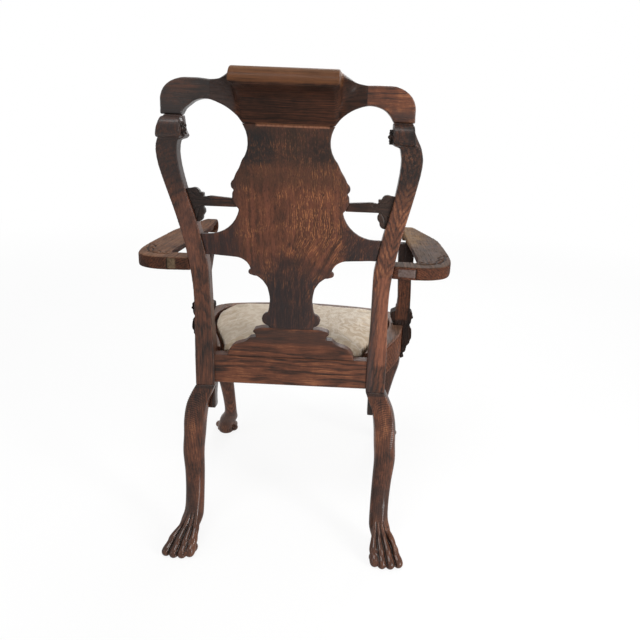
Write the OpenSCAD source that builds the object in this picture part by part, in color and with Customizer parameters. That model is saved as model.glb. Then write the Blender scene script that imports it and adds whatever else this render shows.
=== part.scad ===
// Oak open armchair: solid vase splat, rolled crest, paw feet and a drop-in seat.
// Millimetres, +Z up. The chair faces -Y and its sitter's left side is +X.

/* [Seat frame] */
// Height of the top of the rear rail above the floor
rail_top = 436; // [426:1:446]
// Height of the seat rails
rail_h = 66; // [62:1:72]
// Thickness of the rear rail
rear_rail_t = 26; // [24:1:30]
// Thickness of the bowed front and side rails
bow_rail_t = 56; // [53:1:60]
// Greatest width of the bowed seat frame
seat_w = 526; // [510:2:542]
// Depth of the seat frame from the back of the rear rail to the front
seat_d = 408; // [396:2:420]
// Width of the moulded rim on the rails
rim_w = 35; // [32:1:38]
// Height of the moulded rim
rim_h = 6; // [5:1:9]
// Depth of the rebate that carries the loose seat, below the top of the rails
rebate_h = 12; // [10:1:14]

/* [Back] */
// Width across the rear posts at the seat
back_w = 420; // [410:2:430]
// Width of a rear post
post_w = 42; // [40:1:45]
// Depth of a rear post at the seat
post_d = 38; // [36:1:42]
// Height from the rear rail to the top of the posts
stile_h = 500; // [480:2:520]
// Thickness of the splat
splat_t = 12; // [10:1:14]
// Thickness of the shaped shoe below the splat
shoe_t = 22; // [18:1:24]
// Height of the plain ends of the crest above the posts
crest_h = 61; // [57:1:65]
// Height of the rolled lip above the plain ends of the crest
lip_rise = 21; // [17:1:25]
// Thickness of the crest at its plain ends
crest_t = 26; // [22:1:28]
// Half length of the rolled lip
roll_half = 94; // [88:1:98]
// Radius of the rolled lip
roll_r = 31; // [27:1:33]
// Thickness of the short bars beside the splat
bar_t = 14; // [12:1:18]
// Height of the short bars
bar_h = 20; // [16:1:24]

/* [Scrolls of the posts] */
// Radius of the rolled top of a post
volute_r = 19; // [17:1:20]
// Radius of the carved boss inside the roll
boss_r = 13.5; // [11:0.5:15]
// Distance that the boss stands inward
boss_len = 10; // [7:0.5:13]

/* [Arms] */
// Height of the top of the arms above the rear rail
arm_rise = 219; // [209:1:229]
// Thickness of an arm
arm_t = 27; // [24:1:30]
// Width across the outside of the arms
arm_span = 692; // [684:2:700]
// Width of the flat part of an arm
arm_w = 76; // [72:1:80]
// Distance from the back of the rear rail to the tip of an arm
arm_reach = 447; // [437:1:457]
// Rise of an arm from its middle to its rolled tip
arm_lift = 14; // [10:1:18]
// Radius of the rolled tip of an arm
tip_r = 19; // [17:1:20]
// Width of an arm support seen from behind
support_w = 35; // [31:1:38]
// Thickness of an arm support seen from the side
support_t = 34; // [30:1:38]

/* [Legs] */
// Depth of the dark neck where a rear leg meets its post
neck_h = 7; // [5:1:9]
// Swell of the paws and knees, where 1 is the drawn size
paw_swell = 1; // [0.95:0.01:1.05]
// Diameter of the round tenon on a leg
tenon_d = 20; // [16:1:22]
// Length of the tenon on a front leg
tenon_len = 38; // [35:1:42]
// Length of the tenon on a rear leg
rear_tenon_len = 22; // [18:1:24]

/* [Loose seat] */
// Gap between the cushion and the rim
seat_gap = 6; // [4:0.5:8]
// Gap between the cushion and the rear rail
back_gap = 2.5; // [2:0.5:4]
// Thickness of the cover where it wraps the loose seat's frame
cover_t = 4; // [3.5:0.5:5]
// Thickness of the loose seat's rails
slip_t = 15; // [13:1:17]
// Width of the loose seat's rails
slip_w = 45; // [40:1:50]
// Height of the cushion's crown above the loose seat's rails
crown_h = 26; // [20:1:30]
// Width of a webbing strap
web_w = 50; // [45:1:54]
// Thickness of a webbing strap
web_t = 1; // [0.8:0.1:1.4]
// Thickness of the hessian
hessian_t = 0.8; // [0.6:0.1:1.2]
// Thickness of the flat pad of stuffing
pad_t = 5; // [3:0.5:7]

/* [Fasteners] */
// Diameter of a screw's shank
screw_d = 4; // [3.5:0.5:5]
// Diameter of a screw's head
screw_head_d = 7.5; // [6.5:0.5:9]
// Diameter of a tack's head
tack_d = 8; // [6:0.5:10]

/* [Hidden] */

oak = "#4a2f24";
dark_oak = "#3a2723";
lit_oak = "#6b4230";
beech = "#b08d62";
cloth = "#c8baa0";
iron = "#6c6c6a";

fit = 0.3;               // clearance between pieces that touch or slide
eps = 0.01;              // overshoot of a cutting shape
post_back = 3;           // how far a post stands behind the rear rail
tenon_in = 22;           // how far the rear rail's tenons enter the posts
side_tenon_in = 14;      // how far a side rail's tenon enters a post
tenon_t = 10;            // thickness of a rail's tenon
tenon_drop = 10;         // shoulder above a rail's tenon
tongue_t = 6;            // thickness of the splat's and arms' tongues
tongue_h = 9;            // height of the splat's tongues
dowel_d = 10;            // diameter of the dowel between a post and the crest
dowel_len = 18;          // how far that dowel enters the crest
lip_reach = 172;         // rearmost point of the rolled lip on that drawing
groove = 1.2;            // depth of the groove below the moulded rim
groove_h = 3;            // height of that groove
paw_sides = 20;          // sides of a leg's rings

post_out = back_w / 2;
post_in = post_out - post_w;
post_front = post_back - post_d;
rail_bot = rail_top - rail_h;
ledge_z = rail_top - rebate_h;
rim_top = rail_top + rim_h;
leg_top = rail_bot - neck_h;
arm_top = rail_top + arm_rise;
arm_bot = arm_top - arm_t;
arm_out = arm_span / 2;
half_seat = seat_w / 2;

// Curve through hand-picked stations, with n steps between each pair
function bend(p, i, t) =
    let (a = p[max(i - 1, 0)], b = p[i], c = p[i + 1], d = p[min(i + 2, len(p) - 1)])
    0.5 * (2 * b + (c - a) * t + (2 * a - 5 * b + 4 * c - d) * t * t
        + (3 * b - a - 3 * c + d) * t * t * t);
function curve(p, n) =
    [for (i = [0:len(p) - 2]) for (k = [0:n - 1]) bend(p, i, k / n), p[len(p) - 1]];
function reversed(p) = [for (i = [len(p) - 1:-1:0]) p[i]];
function mirrored(p) = [for (q = reversed(p)) [-q[0], q[1]]];
function arc(c, r, a, b, n) =
    [for (i = [0:n]) c + r * [cos(a + (b - a) * i / n), sin(a + (b - a) * i / n)]];
function at_height(p, h) = let (
    below = [for (i = [0:len(p) - 2]) if (p[i][0] <= h) i],
    i = max(concat([0], below)),
    t = (h - p[i][0]) / (p[i + 1][0] - p[i][0])
) p[i] + t * (p[i + 1] - p[i]);

// Rear posts: height above the rail, outer edge past the post, width change, rear face,
// depth lost
post_stations = [
    [0, 0, 0, post_back, 0], [65, -2, -5, 6, 4],
    [125, -4, -7, 11, 8], [165, -3, -6, 15, 9], [205, 1, -3, 19, 9], [245, 7, -4, 24, 10],
    [285, 15, -4, 30, 10], [325, 24, -5, 38, 10], [365, 34, -5, 47, 10], [405, 42, -3, 59, 9],
    [435, 43, -2, 70, 8], [455, 36, -3, 81, 6], [470, 28, -5, 86, 4], [485, 21, -7, 90, 4],
    [500, 15, -8, 95, 4]
];
stile_line = concat([[-rail_h - neck_h, 0, 0, post_back, 0]], curve(post_stations, 2));
outline_h = post_stations[len(post_stations) - 1][0];
lip_back = lip_reach * stile_h / outline_h;
// Height of a point of the back that is drawn h above the rail
function back_z(h) = rail_top + (h > 0 ? h * stile_h / outline_h : h);
neck_top_h = 455;        // height where the roll begins
roll_mid_h = 478;        // height of the roll's centre
boss_mid_h = 475;        // height of the boss's centre
function stile_at(h) = at_height(stile_line, h);
function stile_outer(h) = post_out + stile_at(h)[1];
function stile_inner(h) = post_out + stile_at(h)[1] - post_w - stile_at(h)[2];
function stile_rear(h) = stile_at(h)[3] * stile_h / outline_h;
volute_y = stile_rear(neck_top_h) + 4 + volute_r;
volute_z = back_z(roll_mid_h);
roll_in = post_out - 20; // inner end of the roll
joint_z = back_z(outline_h);
crest_rear = 97 * stile_h / outline_h;

// Seat frame outline, from the left post round to the middle of the front
seat_line = curve([
    [post_out - 20, 0], [post_out - 11, post_front - 3], [post_out + 3, -79], [half_seat - 24, -143],
    [half_seat - 10, 220 - seat_d], [half_seat, 153 - seat_d], [half_seat - 4, 103 - seat_d],
    [half_seat - 17, 63 - seat_d], [half_seat - 45, 38 - seat_d], [half_seat - 98, 22 - seat_d],
    [half_seat - 178, 8 - seat_d], [0, -seat_d]
], 3);
lap = [half_seat - 113, 138 - seat_d];   // point that the corner joints fan out from
lap_z = (rail_bot + rail_top) / 2;       // height where the half laps meet
function lap_ray(a, r) = lap + r * [cos(a), sin(a)];
side_cut_a = -15;        // direction of the shoulder on a side rail
front_cut_a = -80;       // direction of the shoulder on the front rail
mitre_a = -48;           // direction of the mitre in the rim
leg_spot = lap_ray(mitre_a, 97);         // middle of a front leg's tenon
rear_spot = [post_out - post_w / 2, post_back - post_d / 2];

// Moves each point of an outline inward by t, square to the outline
function inset(p, t) = [for (i = [0:len(p) - 1]) let (
    d = p[min(i + 1, len(p) - 1)] - p[max(i - 1, 0)]
) i == len(p) - 1 ? p[i] + [0, t] : p[i] + t * [d[1], -d[0]] / norm(d)];

module both() { children(); mirror([1, 0, 0]) children(); }
module slab(z0, z1) { translate([0, 0, z0]) linear_extrude(z1 - z0) children(); }
module block(x0, x1, y0, y1, z0, z1) {
    translate([x0, y0, z0]) cube([x1 - x0, y1 - y0, z1 - z0]);
}
// Extrudes an outline drawn in X and Z along Y
module front_cut(y0, y1) {
    translate([0, y1, 0]) rotate([90, 0, 0]) linear_extrude(y1 - y0) children();
}
// Extrudes an outline drawn in Y and Z along X
module side_cut(x0, x1) {
    translate([x0, 0, 0]) rotate([90, 0, 90]) linear_extrude(x1 - x0) children();
}

// Closed skin over rings of points that all have the same count
function middle(r) = [for (k = [0:2]) (min([for (q = r) q[k]]) + max([for (q = r) q[k]])) / 2];
module skin(rings) {
    n = len(rings[0]);
    m = len(rings);
    points = concat([for (r = rings) for (q = r) q], [middle(rings[0]), middle(rings[m - 1])]);
    sides = [for (j = [0:m - 2]) for (i = [0:n - 1]) let (
        a = j * n + i, b = j * n + (i + 1) % n
    ) each [[a, a + n, b], [b, a + n, b + n]]];
    foot = [for (i = [0:n - 1]) [m * n, i, (i + 1) % n]];
    head = [for (i = [0:n - 1]) [m * n + 1, (m - 1) * n + (i + 1) % n, (m - 1) * n + i]];
    polyhedron(points, concat(foot, sides, head), convexity = 8);
}
// Ring of n points between an ellipse (q = 0) and a rectangle (q = 1)
function ring(x, y, z, w, d, q, n) = [for (i = [0:n - 1]) let (
    a = 360 * (i + 0.5) / n, c = cos(a), s = sin(a), m = max(abs(c), abs(s))
) [x + w / 2 * c * (1 - q + q / m), y + d / 2 * s * (1 - q + q / m), z]];

// Rear posts
module stile_side() {
    up = [for (s = stile_line) if (s[0] <= neck_top_h)
        [s[3] * stile_h / outline_h, back_z(s[0]), post_d - s[4]]];
    polygon(concat(
        [for (q = up) [q[0] - q[2], q[1]]],
        [[crest_rear - crest_t - 5, joint_z], [crest_rear, joint_z]],
        arc([volute_y, volute_z], volute_r, 105, -140, 16),
        [for (q = reversed(up)) [q[0], q[1]]]
    ));
}
module stile_front() {
    outer = [for (s = stile_line) [stile_outer(s[0]), back_z(s[0])]];
    inner = [for (s = stile_line) if (s[0] <= neck_top_h) [stile_inner(s[0]), back_z(s[0])]];
    polygon(concat(
        outer, [[roll_in, joint_z], [roll_in, volute_z - volute_r + 5]],
        [[roll_in + 5, volute_z - volute_r]], reversed(inner)
    ));
}
module stile_blank() {
    intersection() {
        side_cut(0, post_out + 60) stile_side();
        front_cut(-80, 160) stile_front();
    }
}
module boss() {
    translate([roll_in - boss_len, volute_y, back_z(boss_mid_h)]) rotate([0, 90, 0])
        cylinder(r = boss_r, h = boss_len + 2, $fn = 32);
}
rail_tenon_low = leg_top + rear_tenon_len + 4;
rail_tenon_high = rail_top - tenon_drop;
rail_tenon_y = -rear_rail_t / 2;
side_tenon_x = post_in + 10;
module rail_tenons(gap) {
    block(post_in - eps, post_in + tenon_in + gap,
        rail_tenon_y - tenon_t / 2 - gap, rail_tenon_y + tenon_t / 2 + gap,
        rail_tenon_low - gap, rail_tenon_high + gap);
}
module side_rail_tenon(gap) {
    block(side_tenon_x - gap, side_tenon_x + tenon_t + gap, post_front - eps,
        post_front + side_tenon_in + gap, rail_tenon_low - gap, ledge_z - tenon_drop + gap);
}
arm_mid_h = arm_rise - arm_t / 2;
arm_tongue_x = stile_outer(arm_mid_h) - 16;
arm_tongue_y = stile_rear(arm_mid_h) - 14;
module arm_tongue(gap) {
    block(arm_tongue_x - gap, stile_outer(arm_mid_h) + 8,
        arm_tongue_y - tongue_t / 2 - gap, arm_tongue_y + tongue_t / 2 + gap,
        arm_bot + 7 - gap, arm_top - 7 + gap);
}
dowel_x = (stile_outer(outline_h) + roll_in) / 2;
dowel_y = crest_rear - crest_t / 2;
module stile() {
    color(oak) {
        difference() {
            union() { stile_blank(); boss(); }
            rail_tenons(fit);
            side_rail_tenon(fit);
            arm_tongue(fit);
            translate([rear_spot[0], rear_spot[1], leg_top - eps])
                cylinder(d = tenon_d + 2 * fit, h = rear_tenon_len + 1, $fn = 32);
        }
        translate([dowel_x, dowel_y, joint_z - eps])
            cylinder(d = dowel_d, h = dowel_len, $fn = 24);
    }
}

// Rear rail and the bowed rails
rear_block_x = post_in - 48;     // screw of a rear corner block into the rear rail
rear_block_y = -84;              // screw of that block into the side rail
front_block_x = half_seat - 113; // screw of a front corner block into the front rail
front_block_y = 133 - seat_d;    // screw of that block into the side rail
block_screw_z = rail_bot + 18;
screw_in = 22;                   // how far a screw enters a rail
// Screw with its head at the origin, pointing along +Z
module screw(shank, gap = 0, clear = 0) {
    translate([0, 0, -clear]) cylinder(d = screw_head_d + 2 * gap, h = 3 + clear + gap, $fn = 24);
    cylinder(d = screw_d + 2 * gap, h = shank + gap, $fn = 20);
}
module rear_block_screws(gap = 0, clear = 0) {
    translate([rear_block_x, -rear_rail_t - 42, block_screw_z]) rotate([-90, 0, 0])
        screw(42 + rear_rail_t - 12, gap, clear);
    translate([post_in - 40, rear_block_y, block_screw_z]) rotate([0, 90, 0])
        screw(28 + screw_in, gap, clear);
}
module front_block_screws(gap = 0, clear = 0) {
    translate([front_block_x, 112 - seat_d, block_screw_z]) rotate([90, 0, 0])
        screw(38 + screw_in, gap, clear);
    translate([half_seat - 91, front_block_y, block_screw_z]) rotate([0, 90, 0])
        screw(32 + screw_in, gap, clear);
}
support_mid = 147 - seat_d;      // middle of an arm support's base along Y
support_screw_z = rail_bot + 43;
support_screw_x = half_seat - bow_rail_t - 2;
module support_screws(gap = 0, clear = 0) {
    for (k = [-8, 8]) translate([support_screw_x, support_mid + k, support_screw_z])
        rotate([0, 90, 0]) screw(bow_rail_t + 14, gap, clear);
}
module rear_rail() {
    color(oak) difference() {
        union() {
            block(-post_in, post_in, -rear_rail_t, 0, rail_bot, rail_top);
            both() rail_tenons(0);
        }
        both() rear_block_screws(fit);
    }
}
// Bowed band of the seat frame between two distances from its outline
module bow_band(t0, t1) {
    polygon(concat(
        inset(seat_line, t0), mirrored(inset(seat_line, t0)),
        reversed(mirrored(inset(seat_line, t1))), reversed(inset(seat_line, t1))
    ));
}
module bow_rail_body() {
    slab(rail_bot, ledge_z) bow_band(0, bow_rail_t);
    slab(ledge_z - eps, rail_top - groove_h) bow_band(0, rim_w);
    slab(rail_top - groove_h - eps, rail_top) bow_band(groove, rim_w);
}
// Plan of a side rail back from the direction a, of the corner, and of the front rail
module side_zone(a) {
    polygon([lap, lap_ray(a, 240), [half_seat + 120, post_front], [post_in - 70, post_front],
        [post_in - 70, lap[1]]]);
}
module corner_zone() {
    polygon([lap, lap_ray(front_cut_a, 240), lap_ray(mitre_a, 300), lap_ray(side_cut_a, 240)]);
}
module front_zone(a) {
    polygon([lap, lap_ray(a, 240), mirrored([lap_ray(a, 240)])[0], mirrored([lap])[0]]);
}
module leg_tenon_hole() {
    translate([leg_spot[0], leg_spot[1], rail_bot - eps])
        cylinder(d = tenon_d + 2 * fit, h = tenon_len + 1, $fn = 32);
}
module side_rail() {
    color(oak) {
        difference() {
            intersection() {
                bow_rail_body();
                union() {
                    slab(rail_bot, rail_top) side_zone(side_cut_a);
                    slab(rail_bot, lap_z) corner_zone();
                }
            }
            leg_tenon_hole();
            rear_block_screws(fit);
            front_block_screws(fit);
            support_screws(fit);
        }
        side_rail_tenon(0);
    }
}
module front_rail() {
    color(oak) difference() {
        intersection() {
            bow_rail_body();
            union() {
                slab(rail_bot, rail_top) front_zone(front_cut_a);
                both() slab(lap_z, rail_top) corner_zone();
            }
        }
        both() leg_tenon_hole();
        both() front_block_screws(fit);
    }
}
module rim_body() {
    slab(rail_top, rim_top - 2) bow_band(0, rim_w);
    slab(rim_top - 2 - eps, rim_top) bow_band(1.5, rim_w - 1.5);
}
module side_rim() {
    color(lit_oak) intersection() { rim_body(); slab(rail_top, rim_top) side_zone(mitre_a); }
}
module front_rim() {
    color(lit_oak) intersection() { rim_body(); slab(rail_top, rim_top) front_zone(mitre_a); }
}

// Legs: part of the height, X and Y from the top, width, depth, squareness
rear_leg_line = curve([
    [1, 0, 0, 42, 38, 0.95], [0.94, 10, 3, 47, 44, 0.75], [0.87, 20, 6, 49, 48, 0.6],
    [0.77, 26, 9, 50, 50, 0.45], [0.66, 28, 14, 49, 46, 0.3], [0.55, 30, 20, 48, 43, 0.15],
    [0.42, 26, 30, 44, 40, 0.05], [0.3, 23, 44, 42, 38, 0], [0.2, 22, 56, 42, 42, 0],
    [0.14, 26, 68, 50, 56, 0], [0.09, 34, 86, 66, 76, 0], [0.045, 42, 99, 76, 86, 0.05],
    [0.012, 43, 105, 74, 82, 0.05], [0, 42, 105, 66, 74, 0.05]
], 2);
front_leg_line = curve([
    [1, 0, 0, 58, 54, 0.85], [0.9, 20, -16, 64, 62, 0.6], [0.79, 26, -25, 62, 60, 0.4],
    [0.64, 21, -30, 47, 46, 0.2], [0.48, 13, -37, 39, 38, 0.05], [0.33, 10, -51, 35, 35, 0],
    [0.24, 11, -63, 36, 38, 0], [0.18, 17, -78, 45, 48, 0], [0.12, 26, -97, 59, 62, 0],
    [0.055, 34, -107, 66, 68, 0.05], [0.014, 34, -109, 62, 62, 0.05], [0, 33, -109, 52, 52, 0.05]
], 2);
// Toes are scallops in the lower rings, on the side that the paw points to
function toe(a, aim, f) = f > 0.16 ? 1
    : 1 + 0.07 * (1 - f / 0.16) * max(0, cos(a - aim)) * cos(6 * (a - aim));
function swell(f) = f > 0.95 ? 1 : paw_swell;
function leg_rings(line, h, spot, aim) = [for (s = reversed(line)) let (
    r = ring(0, 0, 0, s[3] * swell(s[0]), s[4] * swell(s[0]), s[5], paw_sides)
) [for (i = [0:paw_sides - 1]) let (k = toe(360 * (i + 0.5) / paw_sides, aim, s[0]))
    [spot[0] + s[1] + r[i][0] * k, spot[1] + s[2] + r[i][1] * k, s[0] * h]]];
rear_rings = leg_rings(rear_leg_line, leg_top, rear_spot, 60);
front_rings = leg_rings(front_leg_line, rail_bot, leg_spot, 290);
toe_front = min([for (r = front_rings) for (q = r) q[1]]);
toe_rear = max([for (r = rear_rings) for (q = r) q[1]]);
origin_y = -(toe_front + max(lip_back, toe_rear)) / 2;
module placed() { translate([0, origin_y, 0]) children(); }

module rear_leg() {
    color(dark_oak) {
        skin(rear_rings);
        translate([rear_spot[0], rear_spot[1], leg_top - 12])
            cylinder(d = tenon_d, h = 12 + rear_tenon_len, $fn = 32);
    }
}
module front_leg() {
    color(dark_oak) {
        skin(front_rings);
        translate([leg_spot[0], leg_spot[1], rail_bot - 12])
            cylinder(d = tenon_d, h = 12 + tenon_len, $fn = 32);
    }
}

// Knee brackets below the rails, shaped to the leg
module rear_knee_bracket() {
    difference() {
        side_cut(post_in + 7, post_out - 8) polygon(concat(
            [[post_front + 8, rail_bot], [post_front + 8, rail_bot - 78]],
            [[post_front - 14, rail_bot - 80]],
            arc([post_front - 62, rail_bot - 58], 46, -20, 62, 6),
            [[post_front - 50, rail_bot - 9], [post_front - 55, rail_bot]]
        ));
        stile_blank();
        skin(rear_rings);
    }
}
module front_side_bracket() {
    difference() {
        side_cut(leg_spot[0] - 12, leg_spot[0] + 16) polygon(concat(
            [[leg_spot[1], rail_bot], [leg_spot[1], rail_bot - 52]],
            [[leg_spot[1] + 36, rail_bot - 54]],
            arc([leg_spot[1] + 80, rail_bot - 50], 36, 180, 95, 6),
            [[leg_spot[1] + 84, rail_bot]]
        ));
        skin(front_rings);
    }
}
module front_front_bracket() {
    difference() {
        front_cut(leg_spot[1] - 18, leg_spot[1] + 8) polygon(concat(
            [[leg_spot[0], rail_bot], [leg_spot[0] - 84, rail_bot]],
            arc([leg_spot[0] - 80, rail_bot - 50], 36, 85, 0, 6),
            [[leg_spot[0] - 36, rail_bot - 54], [leg_spot[0], rail_bot - 52]]
        ));
        skin(front_rings);
    }
}

// Vase splat, drawn as half-width against height above the rail
shoe_h = 68;             // height of the shoe at the splat
seam_drop = 11;          // seam between the splat and the crest, below the posts' joint
wing_h = 272;            // where the upper edge of a wing meets the post
spur_h = 190;            // height of the small spurs
bar_mid = 339;           // middle of the short bars
splat_in = 3;            // how far the splat's back lies in front of the posts' backs
seam_h = outline_h - seam_drop;
function splat_half() = concat(
    [[46, shoe_h]], arc([48, 89], 15, -80, 85, 6), [[47, 116], [45, 132]],
    arc([96, 142], 50, 178, 118, 3), [[74, spur_h - 5], [81, spur_h - 3]],
    arc([84, spur_h + 4], 6, -70, 90, 3), arc([116, 192], 33, 150, 97, 4),
    [[post_in - 4, 228], [post_out, 227], [post_out, wing_h]],
    [[post_in + 4, wing_h]], arc([170, 340], 68, -90, -168, 8),
    [[108, 330], [116, 344]],
    [[115, 358], [111, 364]], arc([105, 374], 12, -30, 60, 4), [[105, 397], [98, 408]],
    arc([133, 460], 56, 222, 142, 7), [[84, seam_h]]
);
module splat_outline() {
    half = [for (q = splat_half()) [q[0], back_z(q[1])]];
    polygon(concat(half, mirrored(half)));
}
// Curved board that leans with the posts, t thick, its rear face off behind theirs
module raked_board(h0, h1, t, off = 0) {
    up = [for (i = [0:12]) let (h = h0 + (h1 - h0) * i / 12) [stile_rear(h) + off, back_z(h)]];
    side_cut(-300, 300) polygon(concat(up, [for (q = reversed(up)) q - [t, 0]]));
}
module splat_tongues(gap) {
    low = stile_rear(shoe_h) - splat_in - splat_t / 2;
    high = stile_rear(seam_h) - splat_in - splat_t / 2;
    block(-40 - gap, 40 + gap, low - tongue_t / 2 - gap, low + tongue_t / 2 + gap,
        back_z(shoe_h) - tongue_h - gap, back_z(shoe_h) + eps);
    block(-70 - gap, 70 + gap, high - tongue_t / 2 - gap, high + tongue_t / 2 + gap,
        back_z(seam_h) - eps, back_z(seam_h) + tongue_h + gap);
}
module splat() {
    color(oak) {
        difference() {
            intersection() {
                raked_board(shoe_h, seam_h, splat_t, -splat_in);
                front_cut(-60, 160) splat_outline();
            }
            both() stile_blank();
        }
        splat_tongues(0);
    }
}
module splat_shoe() {
    top = back_z(shoe_h) - rail_top;
    half = concat(
        [[140, rail_top]], arc([108, rail_top], 30, 12, 70, 4),
        arc([116, rail_top + top - 6], 32, 262, 215, 4),
        [[76, rail_top + top - 23], [77, rail_top + top - 16], [83, rail_top + top - 10]],
        [[80, rail_top + top - 5], [66, rail_top + top - 1]], [[58, rail_top + top]]
    );
    color(oak) difference() {
        front_cut(-shoe_t, 2) polygon(concat(half, mirrored(half)));
        splat_tongues(fit);
    }
}

// Short bar and its leaf-lobed bracket against the post
module splat_bar() {
    lo = bar_mid - bar_h / 2;
    hi = bar_mid + bar_h / 2;
    color(dark_oak) difference() {
        intersection() {
            raked_board(lo - 50, hi + 50, bar_t, -6);
            front_cut(-60, 160) polygon([for (q = concat(
                [[108, lo], [170, lo]], arc([184, lo - 10], 12, 120, 200, 4),
                arc([188, lo - 22], 11, 170, 300, 5),
                [[post_out, lo - 22], [post_out + 10, hi + 12]],
                arc([190, hi + 6], 11, 60, 175, 5), arc([180, hi + 4], 8, 150, 230, 3),
                [[160, hi + 1], [108, hi - 3]]
            )) [q[0], back_z(q[1])]]);
        }
        stile_blank();
        intersection() {
            raked_board(bar_mid - 80, bar_mid + 80, splat_t + 2, -splat_in + 1);
            front_cut(-60, 160) splat_outline();
        }
    }
}

// Crest: a carved middle with the rolled lip, and two shaped ends
seam_x = post_out - 70;  // glued joint between the middle and an end
seam_z = back_z(seam_h);
crest_top = joint_z + crest_h;
lip_top = crest_top + lip_rise;
splat_rear = stile_rear(seam_h) - splat_in;
arch = curve([
    [84, seam_z], [94, seam_z + 13], [107, seam_z + 24], [126, seam_z + 34],
    [seam_x + 8, seam_z + 38], [post_out - 39, seam_z + 32], [post_out - 26, seam_z + 21],
    [roll_in, joint_z]
], 3);
function arch_z(x) = x <= 84 ? seam_z : at_height(arch, x)[1];
// Section of the middle: distance behind the splat's front face and part of the height
lip_section = concat(
    [[0, 0], [4, 0.25], [12, 0.5], [26, 0.78], [44, 0.94]],
    [for (a = [90:-15:0])
        [lip_back - splat_rear + splat_t - roll_r + roll_r * cos(a), 1 - roll_r * (1 - sin(a)) / 93]],
    [[70, 0.62], [54, 0.58], [38, 0.48], [24, 0.32], [16, 0.16], [12, 0]]
);
end_section = concat(
    [[0, 0], [0, 0.25], [0, 0.5], [0, 0.78], [0, 0.97]],
    [for (i = [0:6]) [3 + (crest_t - 6) * i / 6, 1]],
    [for (k = [0.97, 0.78, 0.6, 0.4, 0.2, 0]) [crest_t, k]]
);
// Distance outward, change from the lip to the plain end, part of the lip's rise that is left
crest_change = [
    [0, 0, 1], [roll_half - 1, 0, 1], [roll_half + 1, 0.45, 0.93], [100, 0.55, 0.76],
    [107, 0.66, 0.58], [114, 0.78, 0.4], [122, 0.9, 0.2], [132, 0.97, 0.08], [seam_x, 1, 0]
];
function crest_ring(x) = let (
    s = at_height(crest_change, min(abs(x), seam_x - eps)),
    f = abs(x) >= seam_x ? 1 : s[1],
    z0 = arch_z(abs(x)),
    z1 = crest_top + lip_rise * (abs(x) >= seam_x ? 0 : s[2]),
    front = (splat_rear - splat_t) * (1 - f) + (crest_rear - crest_t) * f
) [for (i = [0:len(lip_section) - 1]) let (
    q = lip_section[i] * (1 - f) + end_section[i] * f
) [x, front + q[0], z0 + q[1] * (z1 - z0)]];
crest_stations = [
    seam_x, 132, 122, 114, 107, 100, roll_half + 1, roll_half - 1, 84, 56, 28, 0
];
module crest_rail() {
    xs = concat(crest_stations, [for (i = [len(crest_stations) - 2:-1:0]) -crest_stations[i]]);
    color(lit_oak) difference() {
        skin([for (x = xs) crest_ring(x)]);
        splat_tongues(fit);
    }
}
module crest_end() {
    color(oak) difference() {
        front_cut(crest_rear - crest_t, crest_rear) polygon(concat(
            [for (q = arch) if (q[0] > seam_x) q], [[post_out + 19, joint_z]],
            [[post_out + 17, joint_z + 12]],
            arc([post_out - 26, crest_top - 42], 42, 12, 90, 7),
            [[seam_x, crest_top], [seam_x, arch_z(seam_x)]]
        ));
        translate([dowel_x, dowel_y, joint_z - 1])
            cylinder(d = dowel_d + 2 * fit, h = dowel_len + 2, $fn = 24);
    }
}

// Arms: flat boards that turn the corner, rise a little and end in a small roll
arm_back = 22;           // rear edge of an arm behind the rear rail
arm_bar_front = 34;      // front edge of an arm beside the post
arm_edge = 9;            // thickness of an arm at its inner edge
bevel_w = 26;            // width of the bevel below that edge
tip_y = tip_r - arm_reach;
tip_z = arm_top + arm_lift - tip_r;
module arm_outline() {
    in_x = arm_out - arm_w;
    polygon(concat(
        [[post_in + 10, arm_back - 6], [post_out + 25, arm_back - 2]],
        curve([[arm_out - 92, arm_back], [arm_out - 62, arm_back - 2], [arm_out - 38, arm_back - 12],
            [arm_out - 20, arm_back - 30], [arm_out - 10, arm_back - 58],
            [arm_out - 3, arm_back - 97], [arm_out, arm_back - 150]], 2),
        curve([[arm_out + 1, -185], [arm_out + 1, -230], [arm_out - 2, -290],
            [arm_out - 9, -325]], 2),
        curve([[arm_out - 20, -352], [arm_out - 33, 68 - arm_reach], [arm_out - 42, 47 - arm_reach],
            [arm_out - 51, 26 - arm_reach]], 2),
        [[arm_out - 55, tip_y], [arm_out - 56, -arm_reach]],
        [[in_x - 9, -arm_reach], [in_x - 9, tip_y]],
        curve([[in_x - 9, 63 - arm_reach], [in_x - 7, -295], [in_x - 3, -195],
            [in_x - 2, -100], [in_x - 3, -46]], 2),
        [[in_x - 8, -arm_bar_front], [post_out + 24, -arm_bar_front], [post_in + 10, 4 - arm_bar_front]]
    ));
}
module arm_profile() {
    polygon(concat(
        [[arm_back + 10, arm_bot], [-250, arm_bot], [-330, arm_bot + arm_lift / 4]],
        [[64 - arm_reach, arm_bot + arm_lift * 0.6]], arc([tip_y, tip_z], tip_r, -70, -270, 16),
        [[60 - arm_reach, arm_top + arm_lift * 0.7], [-330, arm_top + arm_lift / 4]],
        [[-250, arm_top], [arm_back + 10, arm_top]]
    ));
}
support_edge = 73;               // support's tenon inside the outer edge of the arm
support_x = arm_out - support_edge;
support_lean = support_x - half_seat - 10;
support_y = support_mid - 86;
module support_tenon(gap) {
    translate([support_x, support_y, arm_bot - 6])
        cylinder(d = 16 + 2 * gap, h = 22 + gap, $fn = 28);
}
module arm_solid() {
    difference() {
        intersection() {
            slab(arm_bot - 40, arm_top + 40) arm_outline();
            side_cut(0, arm_out + 40) arm_profile();
        }
        front_cut(50 - arm_reach, -arm_bar_front - 6) polygon([
            [arm_out - arm_w - 30, arm_top - arm_edge], [arm_out - arm_w - 6, arm_top - arm_edge],
            [arm_out - arm_w - 6 + bevel_w, arm_bot - 1], [arm_out - arm_w - 30, arm_bot - 1]
        ]);
    }
}
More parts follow.
